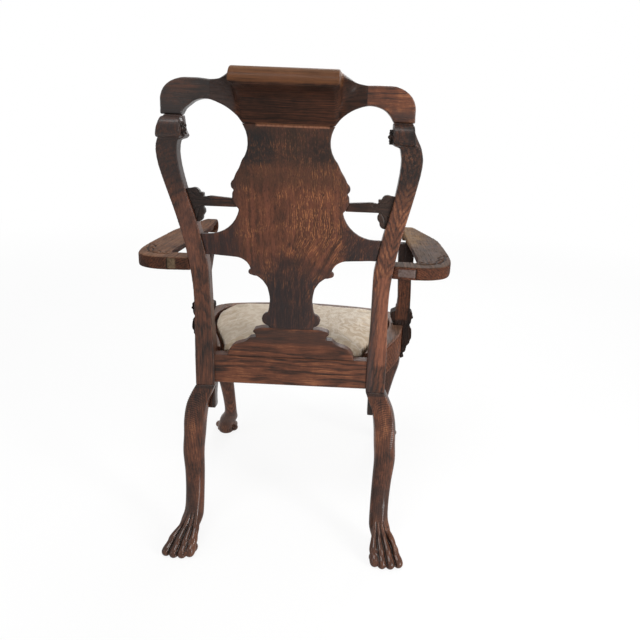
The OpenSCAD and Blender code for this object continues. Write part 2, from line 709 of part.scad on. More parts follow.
module arm() {
    color(lit_oak) {
        difference() {
            arm_solid();
            stile_blank();
            support_tenon(fit);
        }
        intersection() {
            arm_tongue(0);
            union() {
                stile_blank();
                slab(arm_bot, arm_top) arm_outline();
            }
        }
    }
}
// Arm support: height above the rail, rear face from the middle, inner edge, outer edge, part of
// the depth that is lost in front
support_line = curve([
    [-92, 3, 4, 8, 0.75], [-85, 10, 2, 14, 0.45], [-78, 7, 3, 11, 0.52], [-69, 14, 1, 17, 0.25],
    [-61, 11, 1, 14, 0.33], [-48, 19, 0, 21, 0.05], [-36, 20, 0, 22, 0], [0, 19, -17, 22, 0],
    [20, 18, -30, 21, 0], [38, 17, -32, 23, 0], [54, 14, -17, 16, 0], [90, 5, -16, 18, 0],
    [125, -13, -17, 19, 0], [160, -39, -17, 22, 0],
    [arm_rise - arm_t + 10, -71, -16, 25, 0]
], 2);
module arm_support() {
    side = [for (s = support_line) [support_mid + s[1], rail_top + s[0]]];
    front = [for (s = support_line)
        [support_mid + s[1] - support_t * (1 - s[4]), rail_top + s[0]]];
    inner = [for (s = support_line)
        [half_seat + s[2] + support_lean * max(0, s[0]) / arm_rise, rail_top + s[0]]];
    outer = [for (i = [0:len(support_line) - 1]) let (s = support_line[i])
        inner[i] + [(s[3] - s[2]) * support_w / 35, 0]];
    color(dark_oak) {
        difference() {
            union() {
                intersection() {
                    side_cut(half_seat - 60, half_seat + 60)
                        polygon(concat(side, reversed(front)));
                    front_cut(support_mid - 140, support_mid + 60)
                        polygon(concat(outer, reversed(inner)));
                }
                translate([half_seat + 6, support_mid + 3, rail_top - 24]) rotate([0, 90, 0])
                    cylinder(r = 17, h = 18, $fn = 32);
            }
            bow_rail_body();
            slab(rail_top - groove_h - eps, rail_top + eps) bow_band(0, rim_w);
            rim_body();
            slab(rim_top - 2, rim_top) bow_band(0, rim_w);
            arm_solid();
            support_screws(fit);
        }
        support_tenon(0);
    }
}

// Hidden joinery below the seat
module rear_ledger() {
    color(beech) difference() {
        block(-post_in, post_in, -rear_rail_t - 16, -rear_rail_t, ledge_z - 20, ledge_z);
        slab(ledge_z - 21, ledge_z + 1) bow_band(-80, bow_rail_t);
    }
}
module block_body() {
    slab(rail_bot + 6, ledge_z - 22) difference() {
        children();
        bow_band(-80, bow_rail_t);
    }
}
module rear_block() {
    difference() {
        block_body() polygon([[post_in - 78, -rear_rail_t], [post_in, -rear_rail_t],
            [post_in, post_front], [post_out, post_front], [post_out, -150], [post_in - 14, -128]]);
        rear_block_screws(fit, 60);
    }
}
module front_block() {
    difference() {
        block_body() polygon([[half_seat - 57, 173 - seat_d],
            [half_seat - bow_rail_t + 10, 173 - seat_d],
            [half_seat, 20 - seat_d], [half_seat - 168, 20 - seat_d],
            [half_seat - 168, 66 - seat_d]]);
        front_block_screws(fit, 60);
    }
}

// Loose seat: frame, webbing, hessian, stuffing and a crowned cushion
slip_z0 = ledge_z + fit;
slip_z1 = slip_z0 + slip_t;
web_z1 = slip_z1 + 2 * web_t;
hessian_z1 = web_z1 + hessian_t;
pad_z1 = hessian_z1 + pad_t;
pad_in = rim_w + seat_gap;       // distance of the cushion's edge from the seat outline
pad_back = -rear_rail_t - back_gap;
corner_cut = 9;                  // rounding of the rear corners
// Half outline of the loose seat, d inside the cushion's widest line, from the rear middle
function pad_half(d) = let (
    q = [for (p = inset(seat_line, pad_in + d)) if (p[1] < pad_back - corner_cut - d) p]
) concat([for (k = [0, 0.35, 0.7]) [(q[0][0] - corner_cut) * k, pad_back - d]],
    [[q[0][0] - corner_cut, pad_back - d], [q[0][0] - corner_cut * 0.3, pad_back - d - corner_cut * 0.3]],
    q);
function pad_line(d) = let (h = pad_half(d)) concat(
    h, [for (i = [len(h) - 2:-1:1]) [-h[i][0], h[i][1]]]);
module pad_plan(d) { polygon(pad_line(d)); }
// Outline of the loose seat's frame, drawn in by w on every side
slip_mid = (pad_back - seat_d + pad_in) / 2;
slip_half = [half_seat - pad_in - cover_t, (pad_back + seat_d - pad_in) / 2 - cover_t];
function slip_line(w) = [for (p = pad_line(cover_t))
    [p[0] * (1 - w / slip_half[0]), slip_mid + (p[1] - slip_mid) * (1 - w / slip_half[1])]];
slip_front_y = 106 - seat_d;     // joint between the front and side rails of the loose seat
slip_back_y = pad_back - cover_t - slip_w - fit;
// Tacks lie on the inner half of the rails, clear of the ledge and of the joints
tack_line = slip_line(slip_w * 0.6);
tack_spots = [for (i = [2:3:len(seat_line)]) let (p = tack_line[i])
    if (min(abs(p[1] - slip_front_y), abs(p[1] - slip_back_y), p[0]) > tack_d) p];
module tacks(gap = 0) {
    for (p = tack_spots) translate([p[0], p[1], slip_z0 - eps])
        cylinder(d = 1.8 + 2 * gap, h = 8 + gap, $fn = 16);
}
// One rail of the loose seat, cut from its ring between two X and two Y values
module slip_part(x0, x1, y0, y1) {
    color(beech) difference() {
        slab(slip_z0, slip_z1) intersection() {
            difference() { pad_plan(cover_t); polygon(slip_line(slip_w)); }
            translate([x0, y0]) square([x1 - x0, y1 - y0]);
        }
        both() tacks(fit / 3);
    }
}
module slip_front() { slip_part(-half_seat, half_seat, -seat_d, slip_front_y); }
module slip_back() { slip_part(-half_seat, half_seat, slip_back_y, 0); }
module slip_side() { slip_part(0, half_seat, slip_front_y, slip_back_y); }
module cover_tacks() {
    color(iron) {
        both() {
            tacks();
            for (p = tack_spots) translate([p[0], p[1], slip_z0 - 1])
                cylinder(d = tack_d, h = 1, $fn = 20);
        }
    }
}
module seat_webbing() {
    color(cloth) {
        slab(slip_z1, slip_z1 + web_t) intersection() {
            polygon(slip_line(slip_w * 0.4));
            for (i = [-1:1]) translate([i * (web_w + 20) - web_w / 2, -seat_d])
                square([web_w, seat_d]);
        }
        slab(slip_z1 + web_t, web_z1) intersection() {
            polygon(slip_line(slip_w * 0.4));
            for (i = [-1:1]) translate([-half_seat, -seat_d / 2 + i * (web_w + 24) - web_w / 2])
                square([seat_w, web_w]);
        }
    }
}
module seat_hessian() { color(cloth) slab(web_z1, hessian_z1) pad_plan(cover_t + 6); }
module seat_stuffing() { color(cloth) slab(hessian_z1, pad_z1) pad_plan(cover_t + 12); }
// Cushion rings: size against the widest line, part of the height
cushion_rise = slip_z1 + crown_h - slip_z0 - 1;
cushion_rings = [
    [0.989, 0], [0.995, 0.12], [1, 0.3], [0.999, 0.42], [0.99, 0.54], [0.97, 0.64],
    [0.93, 0.735], [0.86, 0.82], [0.75, 0.89], [0.58, 0.95], [0.38, 0.985], [0.16, 1]
];
module cushion_form() {
    mid = [0, -seat_d / 2 - 10];
    skin([for (r = cushion_rings) [for (p = reversed(pad_line(0))) let (
        q = mid + (p - mid) * r[0]
    ) [q[0], q[1], slip_z0 + 1 + cushion_rise * r[1]]]]);
}
module seat_cushion() {
    color(cloth) difference() {
        cushion_form();
        slab(slip_z0, hessian_z1) pad_plan(cover_t);
        slab(hessian_z1 - eps, pad_z1) pad_plan(cover_t + 12);
    }
}

placed() crest_rail();
placed() crest_end();  // crest_end_left
placed() mirror([1, 0, 0]) crest_end();  // crest_end_right
placed() splat();
placed() splat_shoe();
placed() stile();  // stile_left
placed() mirror([1, 0, 0]) stile();  // stile_right
placed() splat_bar();  // splat_bar_left
placed() mirror([1, 0, 0]) splat_bar();  // splat_bar_right
placed() rear_leg();  // rear_leg_left
placed() mirror([1, 0, 0]) rear_leg();  // rear_leg_right
placed() front_leg();  // front_leg_left
placed() mirror([1, 0, 0]) front_leg();  // front_leg_right
placed() rear_rail();
placed() front_rail();
placed() side_rail();  // side_rail_left
placed() mirror([1, 0, 0]) side_rail();  // side_rail_right
placed() side_rim();  // seat_rim_left
placed() mirror([1, 0, 0]) side_rim();  // seat_rim_right
placed() front_rim();  // seat_rim_front
placed() color(oak) both() rear_knee_bracket();  // rear_knee_brackets
placed() color(oak) both() { front_side_bracket(); front_front_bracket(); }  // front_knee_brackets
placed() rear_ledger();
placed() color(beech) both() { rear_block(); front_block(); }  // corner_blocks
placed() color(iron) both() { rear_block_screws(); front_block_screws(); }  // block_screws
placed() arm();  // arm_left
placed() mirror([1, 0, 0]) arm();  // arm_right
placed() arm_support();  // arm_support_left
placed() mirror([1, 0, 0]) arm_support();  // arm_support_right
placed() color(iron) both() support_screws();  // arm_screws
placed() slip_front();  // slip_rail_front
placed() slip_back();  // slip_rail_back
placed() slip_side();  // slip_rail_left
placed() mirror([1, 0, 0]) slip_side();  // slip_rail_right
placed() seat_webbing();
placed() seat_hessian();
placed() seat_stuffing();
placed() seat_cushion();
placed() cover_tacks();
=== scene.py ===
import math

import bmesh
import bpy
import numpy as np
from mathutils import Matrix, Vector


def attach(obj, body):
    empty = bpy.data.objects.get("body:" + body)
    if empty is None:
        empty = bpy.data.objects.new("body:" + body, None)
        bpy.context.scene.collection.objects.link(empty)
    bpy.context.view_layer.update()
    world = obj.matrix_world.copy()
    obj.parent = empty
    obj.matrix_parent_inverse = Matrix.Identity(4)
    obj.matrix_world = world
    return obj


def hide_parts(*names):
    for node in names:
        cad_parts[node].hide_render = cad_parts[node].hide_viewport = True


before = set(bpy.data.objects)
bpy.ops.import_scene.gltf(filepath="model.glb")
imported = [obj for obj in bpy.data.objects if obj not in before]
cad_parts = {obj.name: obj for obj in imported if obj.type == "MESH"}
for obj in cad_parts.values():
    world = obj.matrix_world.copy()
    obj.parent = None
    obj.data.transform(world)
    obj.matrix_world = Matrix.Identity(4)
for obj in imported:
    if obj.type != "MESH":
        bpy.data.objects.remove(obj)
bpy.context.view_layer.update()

scene = bpy.context.scene
MM = 0.001
OY = 0.156029  # the chair's drawings have y = 0 at the back of the rear rail
WORN = 0.0009  # how far a fully worn edge stands out of the smoothed surface
SIDES = (("left", 1), ("right", -1))


# ---------------- meshes
def metres(x, y, z):
    """A point of the drawings, in millimetres, as a point of the frame."""
    return x * MM, y * MM + OY, z * MM


def drawn(co):
    """Points of the frame in the drawings' millimetres, with both halves folded onto the left."""
    return abs(co[:, 0]) / MM, (co[:, 1] - OY) / MM, co[:, 2] / MM


def linked(name, data):
    obj = bpy.data.objects.new(name, data)
    scene.collection.objects.link(obj)
    return obj


def new_object(name, verts, faces):
    mesh = bpy.data.meshes.new(name)
    mesh.from_pydata([tuple(map(float, v)) for v in verts], [], faces)
    mesh.update()
    return linked(name, mesh)


def copy_of(node, name):
    return linked(name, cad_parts[node].data.copy())


def applied(obj):
    """Takes the result of a piece's modifiers as its mesh."""
    dg = bpy.context.evaluated_depsgraph_get()
    mesh = bpy.data.meshes.new_from_object(obj.evaluated_get(dg))
    obj.modifiers.clear()
    old = obj.data
    obj.data = mesh
    if old.users == 0:
        bpy.data.meshes.remove(old)


def vectors(mesh, prop):
    values = np.zeros(len(mesh.vertices) * 3)
    mesh.vertices.foreach_get(prop, values)
    return values.reshape(-1, 3)


def coords(mesh):
    return vectors(mesh, "co")


def normals(mesh):
    return vectors(mesh, "normal")


def set_coords(mesh, co):
    mesh.vertices.foreach_set("co", co.ravel())
    mesh.update()


def edges(mesh):
    e = np.zeros(len(mesh.edges) * 2, dtype=np.int64)
    mesh.edges.foreach_get("vertices", e)
    return e.reshape(-1, 2)


def smoothed(co, e, rounds):
    """Points that move half way to the mean of their neighbours, some rounds long."""
    n = len(co)
    deg = np.bincount(e.ravel(), minlength=n)[:, None].astype(float)
    deg[deg == 0] = 1
    for _ in range(rounds):
        total = np.stack([
            np.bincount(e[:, 0], co[e[:, 1], k], n) + np.bincount(e[:, 1], co[e[:, 0], k], n)
            for k in range(3)
        ], axis=1)
        co = co + 0.5 * (total / deg - co)
    return co


def joined(name, objects):
    """One mesh of several closed solids, for the remesh to fuse."""
    bm = bmesh.new()
    for o in objects:
        bm.from_mesh(o.data)
    mesh = bpy.data.meshes.new(name)
    bm.to_mesh(mesh)
    bm.free()
    for o in objects:
        bpy.data.objects.remove(o)
    return linked(name, mesh)


def remeshed(obj, voxel):
    mod = obj.modifiers.new("remesh", "REMESH")
    mod.mode = "VOXEL"
    mod.voxel_size = voxel
    mod.use_smooth_shade = True
    applied(obj)


def store_wear_and_shade(mesh, co, reach):
    """Stores how far each point stands out of the smoothed surface, for wear and painted shade."""
    flat = smoothed(co, edges(mesh), reach)
    proud = np.einsum("ij,ij->i", co - flat, normals(mesh)) / WORN
    att = mesh.attributes.new("edge", "FLOAT", "POINT")
    att.data.foreach_set("value", np.clip(proud, -1, 1))
    mesh.polygons.foreach_set("use_smooth", [True] * len(mesh.polygons))


def carved(obj, voxel, soften, shape=None, keep=0.5, reach=8):
    """Fuses a piece, rounds its edges as age does, cuts its carving and thins out its faces."""
    remeshed(obj, voxel)
    mesh = obj.data
    co = smoothed(coords(mesh), edges(mesh), soften)
    set_coords(mesh, co)
    if shape:
        set_coords(mesh, co + shape(co, normals(mesh)))
    obj.modifiers.new("decimate", "DECIMATE").ratio = keep
    applied(obj)
    store_wear_and_shade(obj.data, coords(obj.data), reach)
    return obj


def finished(obj, material, body, nodes):
    """Gives a piece its material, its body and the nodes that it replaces."""
    obj.data.materials.clear()
    obj.data.materials.append(material)
    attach(obj, body)
    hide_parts(*nodes)
    return obj


def wood_piece(name, nodes, material, slot, extra=(), **how):
    """Carved piece on the frame, from copies of CAD nodes and some extra solids."""
    parts = [copy_of(n, name + "_" + n) for n in nodes] + list(extra)
    return finished(carved(joined(name, parts), **how), material, "frame", nodes)


def ease(a, b, x):
    """Smooth step from 0 at a to 1 at b."""
    t = np.clip((x - a) / (b - a), 0, 1)
    return t * t * (3 - 2 * t)


def bump(x, centre, width):
    return np.exp(-((x - centre) / width) ** 2)


def catmull(stations, n):
    """Smooth curve through stations, with n steps between two of them."""
    p = np.array(stations, float)
    out = []
    for i in range(len(p) - 1):
        a, b, c, d = p[max(i - 1, 0)], p[i], p[i + 1], p[min(i + 2, len(p) - 1)]
        for k in range(n):
            t = k / n
            out.append(0.5 * (2 * b + (c - a) * t + (2 * a - 5 * b + 4 * c - d) * t * t
                              + (3 * b - a - 3 * c + d) * t ** 3))
    out.append(p[-1])
    return np.array(out)


def loft(name, rings):
    """Closed skin over rings of points."""
    n, m = len(rings[0]), len(rings)
    middles = [np.mean(rings[0], axis=0), np.mean(rings[-1], axis=0)]
    verts = [p for r in rings for p in r] + middles
    faces = []
    for j in range(m - 1):
        for i in range(n):
            a, b = j * n + i, j * n + (i + 1) % n
            faces.append((a, b, b + n, a + n))
    for i in range(n):
        faces.append((m * n, (i + 1) % n, i))
        faces.append((m * n + 1, (m - 1) * n + i, (m - 1) * n + (i + 1) % n))
    return new_object(name, verts, faces)


def worm(name, path, radii, sides):
    """Tapered tube along a path with round ends, all in metres."""
    pts = catmull(np.column_stack([np.array(path, float), radii]), 5)
    c, r = pts[:, :3], pts[:, 3]
    last = len(c) - 1
    turns = np.linspace(0, 2 * math.pi, sides, endpoint=False)
    rings = []
    for i in range(len(c)):
        d = c[min(i + 1, last)] - c[max(i - 1, 0)]
        d /= np.linalg.norm(d)
        u = np.cross(d, np.array([0.3, 0.2, 0.9]))
        u /= np.linalg.norm(u)
        v = np.cross(d, u)
        caps = [-0.95, -0.7, -0.35] * (i == 0) + [0] + [0.35, 0.7, 0.95] * (i == last)
        for f in caps:
            q, s = c[i] + d * r[i] * f, r[i] * math.sqrt(1 - f * f)
            rings.append([q + s * (math.cos(t) * u + math.sin(t) * v) for t in turns])
    return loft(name, rings)


def ball(name, centre, size, tilt=0.0):
    """Ellipsoid that is tilted about Y."""
    bm = bmesh.new()
    bmesh.ops.create_icosphere(bm, subdivisions=3, radius=1)
    mesh = bpy.data.meshes.new(name)
    bm.to_mesh(mesh)
    bm.free()
    mesh.transform(Matrix.Translation(Vector(centre)) @ Matrix.Rotation(tilt, 4, "Y")
                   @ Matrix.Diagonal((*size, 1)))
    return linked(name, mesh)


def flipped(obj):
    """Mirrors a mesh in the chair's middle plane."""
    obj.data.transform(Matrix.Diagonal((-1, 1, 1, 1)))
    obj.data.flip_normals()
    return obj


# ---------------- materials
class Tree:
    """Short way to write a node tree."""

    def __init__(self, tree):
        self.tree = tree
        tree.nodes.clear()

    def add(self, kind, **props):
        node = self.tree.nodes.new(kind)
        for k, v in props.items():
            setattr(node, k, v)
        return node

    def link(self, a, b):
        self.tree.links.new(a, b)

    def put(self, value, socket):
        if isinstance(value, bpy.types.NodeSocket):
            self.link(value, socket)
        else:
            socket.default_value = value

    def math(self, op, a, b=0.0, clamp=False):
        node = self.add("ShaderNodeMath", operation=op, use_clamp=clamp)
        self.put(a, node.inputs[0])
        self.put(b, node.inputs[1])
        return node.outputs[0]

    def plus(self, total, *terms):
        for term in terms:
            total = self.math("ADD", total, term)
        return total

    def minus(self, a, b):
        return self.math("SUBTRACT", a, b)

    def times(self, a, b):
        return self.math("MULTIPLY", a, b)

    def swing(self, x, size):
        """A value around 0.5 as one around 0."""
        return self.times(self.minus(x, 0.5), size)

    def wave(self, x, pitch):
        return self.math("SINE", self.times(x, 2 * math.pi / pitch))

    def vec(self, op, a, b=(0, 0, 0)):
        node = self.add("ShaderNodeVectorMath", operation=op)
        self.put(a, node.inputs[0])
        self.put(b, node.inputs[1])
        return node.outputs["Value" if op in ("LENGTH", "DOT_PRODUCT") else 0]

    def scaled(self, at, *xyz):
        return self.vec("MULTIPLY", at, xyz)

    def split(self, at):
        node = self.add("ShaderNodeSeparateXYZ")
        self.link(at, node.inputs[0])
        return list(node.outputs)

    def combined(self, *xyz):
        node = self.add("ShaderNodeCombineXYZ")
        for value, socket in zip(xyz, node.inputs):
            self.put(value, socket)
        return node.outputs[0]

    def noise(self, at, scale, detail, rough=0.55, warp=0.0):
        node = self.add("ShaderNodeTexNoise")
        self.put(at, node.inputs["Vector"])
        settings = {"Scale": scale, "Detail": detail, "Roughness": rough, "Distortion": warp}
        for k, v in settings.items():
            node.inputs[k].default_value = v
        return node.outputs["Fac"]

    def step(self, x, a, b, low=0.0, high=1.0):
        """Smooth step from low at a to high at b."""
        node = self.add("ShaderNodeMapRange", interpolation_type="SMOOTHSTEP")
        self.put(x, node.inputs["Value"])
        for k, v in (("From Min", a), ("From Max", b), ("To Min", low), ("To Max", high)):
            node.inputs[k].default_value = v
        return node.outputs[0]

    def mix(self, f, a, b):
        node = self.add("ShaderNodeMix", data_type="RGBA")
        self.put(f, node.inputs["Factor"])
        for v, s in ((a, node.inputs[6]), (b, node.inputs[7])):
            self.put((*v, 1.0) if isinstance(v, tuple) else v, s)
        return node.outputs[2]

    def ramp(self, x, stops):
        node = self.add("ShaderNodeValToRGB")
        self.put(x, node.inputs[0])
        el = node.color_ramp.elements
        while len(el) < len(stops):
            el.new(0.5)
        for e, (p, c) in zip(el, stops):
            e.position = p
            e.color = (*c, 1.0)
        return node.outputs[0]

    def bump(self, height, distance, strength=1.0):
        node = self.add("ShaderNodeBump")
        self.put(height, node.inputs["Height"])
        node.inputs["Distance"].default_value = distance
        node.inputs["Strength"].default_value = strength
        return node.outputs[0]

    def seen(self):
        """1 for rays that show a thing itself, 0 for the light that it throws on others."""
        rays = self.add("ShaderNodeLightPath").outputs
        direct = self.math("MAXIMUM", rays["Is Camera Ray"], rays["Is Glossy Ray"])
        return self.math("MAXIMUM", direct, rays["Is Transmission Ray"])

    def blend(self, factor, a, b, surface):
        node = self.add("ShaderNodeMixShader")
        for value, socket in zip((factor, a, b), node.inputs):
            self.link(value, socket)
        self.link(node.outputs[0], surface)


class Material(Tree):
    """A material with a principled shader, on object coordinates."""

    def __init__(self, name):
        self.mat = bpy.data.materials.new(name)
        self.mat.use_nodes = True
        super().__init__(self.mat.node_tree)
        self.out = self.add("ShaderNodeOutputMaterial")
        self.bsdf = self.add("ShaderNodeBsdfPrincipled")
        self.link(self.bsdf.outputs[0], self.out.inputs["Surface"])
        self.pos = self.add("ShaderNodeTexCoord").outputs["Object"]

    def edge(self):
        """What store_wear_and_shade left: above 0 on worn edges, below 0 in hollows."""
        return self.add("ShaderNodeAttribute", attribute_name="edge").outputs["Fac"]


BLACK = (0.0085, 0.0065, 0.006)
DARK = (0.019, 0.0105, 0.0078)
BROWN = (0.050, 0.0205, 0.0125)
RED = (0.094, 0.0335, 0.018)
AMBER = (0.195, 0.078, 0.036)
TAN = (0.155, 0.088, 0.055)
RUBBED = (0.13, 0.068, 0.042)
SHADE_IN_HOLLOWS = (0.0055, 0.0045, 0.004)
INK = (0.008, 0.006, 0.0055)
LIGHT_STRIPE, DARK_STRIPE = (0.13, 0.044, 0.026), (0.017, 0.0095, 0.0075)
FLECK = (0.29, 0.112, 0.045)
RIB = 0.0041  # pitch of the fine ribs on the splat's quarter-sawn board
TURNS = {"X": (0, math.pi / 2, 0), "Y": (math.pi / 2, 0, 0), "Z": (0, 0, 0)}


def wood(name, along, axis, ring, tone, rings, *, stain, wear, streak=1.0, flecks=0.0, tan=0.0,
         bare=TAN, arches=None, marks=(), rough=0.42, polish=0.0, spec=0.15):
    """Old stained oak, with its grain along X, Y or Z.

    axis is a point that the trunk's pith passes through and ring the width of a year's ring, in
    metres. tone runs from 0, black, to 1, amber. rings, stain, wear, streak, flecks and tan say
    how strong each of them is, and bare is the colour of the tan. A mark is a stain, a painted
    shade or a painted light in a box: its limits in X, Y and Z (None: no limit), the softness of
    its edge, its colour and its strength.
    """
    n = Material(name)
    pos = n.pos
    mapping = n.add("ShaderNodeMapping")
    n.link(n.vec("SUBTRACT", pos, axis), mapping.inputs["Vector"])
    mapping.inputs["Rotation"].default_value = TURNS[along]
    p = mapping.outputs[0]
    drift = n.noise(n.scaled(p, 1, 1, 0.25), 11, 3, 0.5)
    wiggle = n.noise(n.scaled(p, 1, 1, 0.15), 90, 2, 0.5)
    if arches:
        # plain-sawn board: nested arches that point down along its middle line
        mid, lean, base, rise, steep = arches
        always_positive = 3.0042
        x, _, z = n.split(pos)
        centre = n.plus(n.times(n.minus(z, base), lean), mid)
        off = n.math("ABSOLUTE", n.minus(x, centre))
        climb = n.times(n.math("MAXIMUM", z, base - 0.03), rise)
        off = n.minus(n.times(off, steep), climb)
        wander = n.swing(n.noise(pos, 42, 4, 0.6), 0.014)
        r = n.plus(off, n.swing(drift, 0.03), wander, always_positive)
    else:
        r = n.plus(n.vec("LENGTH", n.scaled(p, 1, 1, 0)), n.swing(drift, 0.035))
    r = n.plus(r, n.swing(wiggle, 0.004))
    phase = n.math("FRACT", n.math("DIVIDE", r, ring))
    late = n.times(n.step(phase, 0.0, 0.45), n.step(phase, 1.0, 0.75))
    broad = n.noise(n.scaled(p, 1, 1, 0.03), 260, 5, 0.75)
    fine = n.noise(n.scaled(p, 1, 1, 0.05), 700, 3, 0.6)
    pore = n.step(n.noise(n.scaled(p, 1, 1, 0.05), 560, 2, 0.5, 0.2), 0.54, 0.64)
    pore = n.times(pore, n.step(late, 0.9, 0.2, 0.35, 1.0))
    patch = n.noise(n.scaled(pos, 1, 1, 0.6), 8.5, 6, 0.66)
    cloud = n.noise(pos, 30, 5, 0.66)
    value = n.plus(n.swing(broad, 1.25 * streak), n.swing(fine, 0.9 * streak),
                   n.swing(late, 0.42 * rings), n.swing(patch, 2.2 * stain),
                   n.swing(cloud, 0.9 * stain))
    value = n.math("ADD", value, tone, clamp=True)
    colour = n.ramp(value, [(0.0, BLACK), (0.25, DARK), (0.5, BROWN), (0.75, RED), (1.0, AMBER)])
    if flecks:
        # quarter-sawn board: broad upright stripes, and short bright dashes that lean lower down
        x, _, z = n.split(pos)
        lean = n.times(n.math("MINIMUM", n.minus(z, 0.71), 0.0), 0.55)
        lean = n.times(lean, n.step(x, 0.03, -0.03))
        sway = n.swing(n.noise(pos, 34, 4, 0.6), 0.016)
        board = n.combined(n.plus(x, n.plus(lean, sway)), 0.0, z)
        stripe = n.noise(n.scaled(board, 1, 1, 0.03), 95, 4, 0.6)
        colour = n.mix(n.times(n.step(stripe, 0.44, 0.64), 0.55), colour, LIGHT_STRIPE)
        colour = n.mix(n.times(n.step(stripe, 0.48, 0.34), 0.5), colour, DARK_STRIPE)
        rib = n.wave(n.vec("DOT_PRODUCT", board, (1, 0, 0)), RIB)
        line = n.plus(n.noise(n.scaled(board, 1, 1, 0.10), 470, 2, 0.5), n.times(rib, 0.07))
        dash = n.noise(n.scaled(board, 1, 1, 0.5), 330, 3, 0.6)
        fleck = n.plus(n.times(line, 0.62), n.times(dash, 0.38))
        field = n.plus(n.noise(pos, 15, 5, 0.65), n.step(x, 0.09, -0.05, -0.09, 0.07))
        fleck = n.times(n.step(fleck, 0.50, 0.62), n.step(field, 0.40, 0.60))
        colour = n.mix(n.times(fleck, flecks), colour, FLECK)
    if tan:
        # bare wood where the upward faces are worn
        face = n.add("ShaderNodeNewGeometry").outputs["Normal"]
        up = n.vec("DOT_PRODUCT", face, (0, 0, 1))
        worn = n.times(n.step(up, 0.55, 0.95), n.step(n.noise(pos, 17, 5, 0.65), 0.25, 0.62))
        skin = n.mix(n.step(broad, 0.3, 0.7), tuple(0.42 * c for c in bare), bare)
        colour = n.mix(n.times(worn, tan), colour, skin)
    colour = n.mix(n.times(pore, 0.6), colour, BLACK)
    edge = n.edge()
    rub = n.times(n.step(edge, 0.2, 0.9), n.step(n.noise(pos, 60, 4, 0.6), 0.38, 0.68))
    colour = n.mix(n.times(rub, wear), colour, RUBBED)
    # painted shade: hollows and creases darkened towards near black
    colour = n.mix(n.times(n.step(edge, -0.08, -0.55), 0.88), colour, SHADE_IN_HOLLOWS)
    for *box, blur, rgb, amount in marks:
        mask = n.step(broad, 0.36, 0.58, 0.45, 1.0)
        for limits, k in zip(box, n.split(n.vec("ADD", pos, n.swing(cloud, blur * 3)))):
            if limits:
                a, b = limits
                inside = n.times(n.step(k, a - blur, a + blur), n.step(k, b + blur, b - blur))
                mask = n.times(mask, inside)
        colour = n.mix(n.times(mask, amount), colour, rgb)
    n.link(colour, n.bsdf.inputs["Base Color"])
    matt = n.plus(n.times(n.noise(pos, 34, 5, 0.6), 0.30), rough - 0.15)
    matt = n.math("ADD", matt, n.times(pore, 0.15), clamp=True)
    n.link(matt, n.bsdf.inputs["Roughness"])
    n.bsdf.inputs["Specular IOR Level"].default_value = spec
    if polish:
        n.bsdf.inputs["Coat Weight"].default_value = polish
        n.bsdf.inputs["Coat Roughness"].default_value = 0.13
        n.bsdf.inputs["Coat IOR"].default_value = 1.5
    relief = n.minus(n.times(broad, 0.5), n.times(pore, 0.6))
    relief = n.plus(relief, n.times(n.noise(pos, 110, 4, 0.55), 0.6))
    n.link(n.bump(relief, 0.0004, 0.8), n.bsdf.inputs["Normal"])
    return n.mat


def plain(name, dark, light, scale, stretch, rough, metal=0.0, depth=0.0003):
    """Mottled material between two colours."""
    n = Material(name)
    f = n.noise(n.scaled(n.pos, *stretch), scale, 5, 0.6)
    n.link(n.mix(n.step(f, 0.3, 0.7), dark, light), n.bsdf.inputs["Base Color"])
    n.bsdf.inputs["Metallic"].default_value = metal
    n.link(n.plus(n.times(f, 0.3), rough - 0.15), n.bsdf.inputs["Roughness"])
    n.link(n.bump(f, depth), n.bsdf.inputs["Normal"])
    return n.mat


def weave(name, dark, light, pitch, stripe=None):
    """Coarse cloth; stripe is the axis, the pitch and the colour of its stripes."""
    n = Material(name)
    spot = n.split(n.pos)
    cross = n.times(n.wave(spot[0], pitch), n.wave(spot[1], pitch))
    f = n.plus(n.times(cross, 0.35), n.noise(n.pos, 40, 4, 0.6))
    colour = n.mix(n.step(f, 0.1, 0.9), dark, light)
    if stripe:
        axis, width, rgb = stripe
        colour = n.mix(n.step(n.wave(spot[axis], width), 0.8, 0.95), colour, rgb)
    n.link(colour, n.bsdf.inputs["Base Color"])
    n.bsdf.inputs["Roughness"].default_value = 0.9
    n.link(n.bump(cross, pitch * 0.3), n.bsdf.inputs["Normal"])
    return n.mat


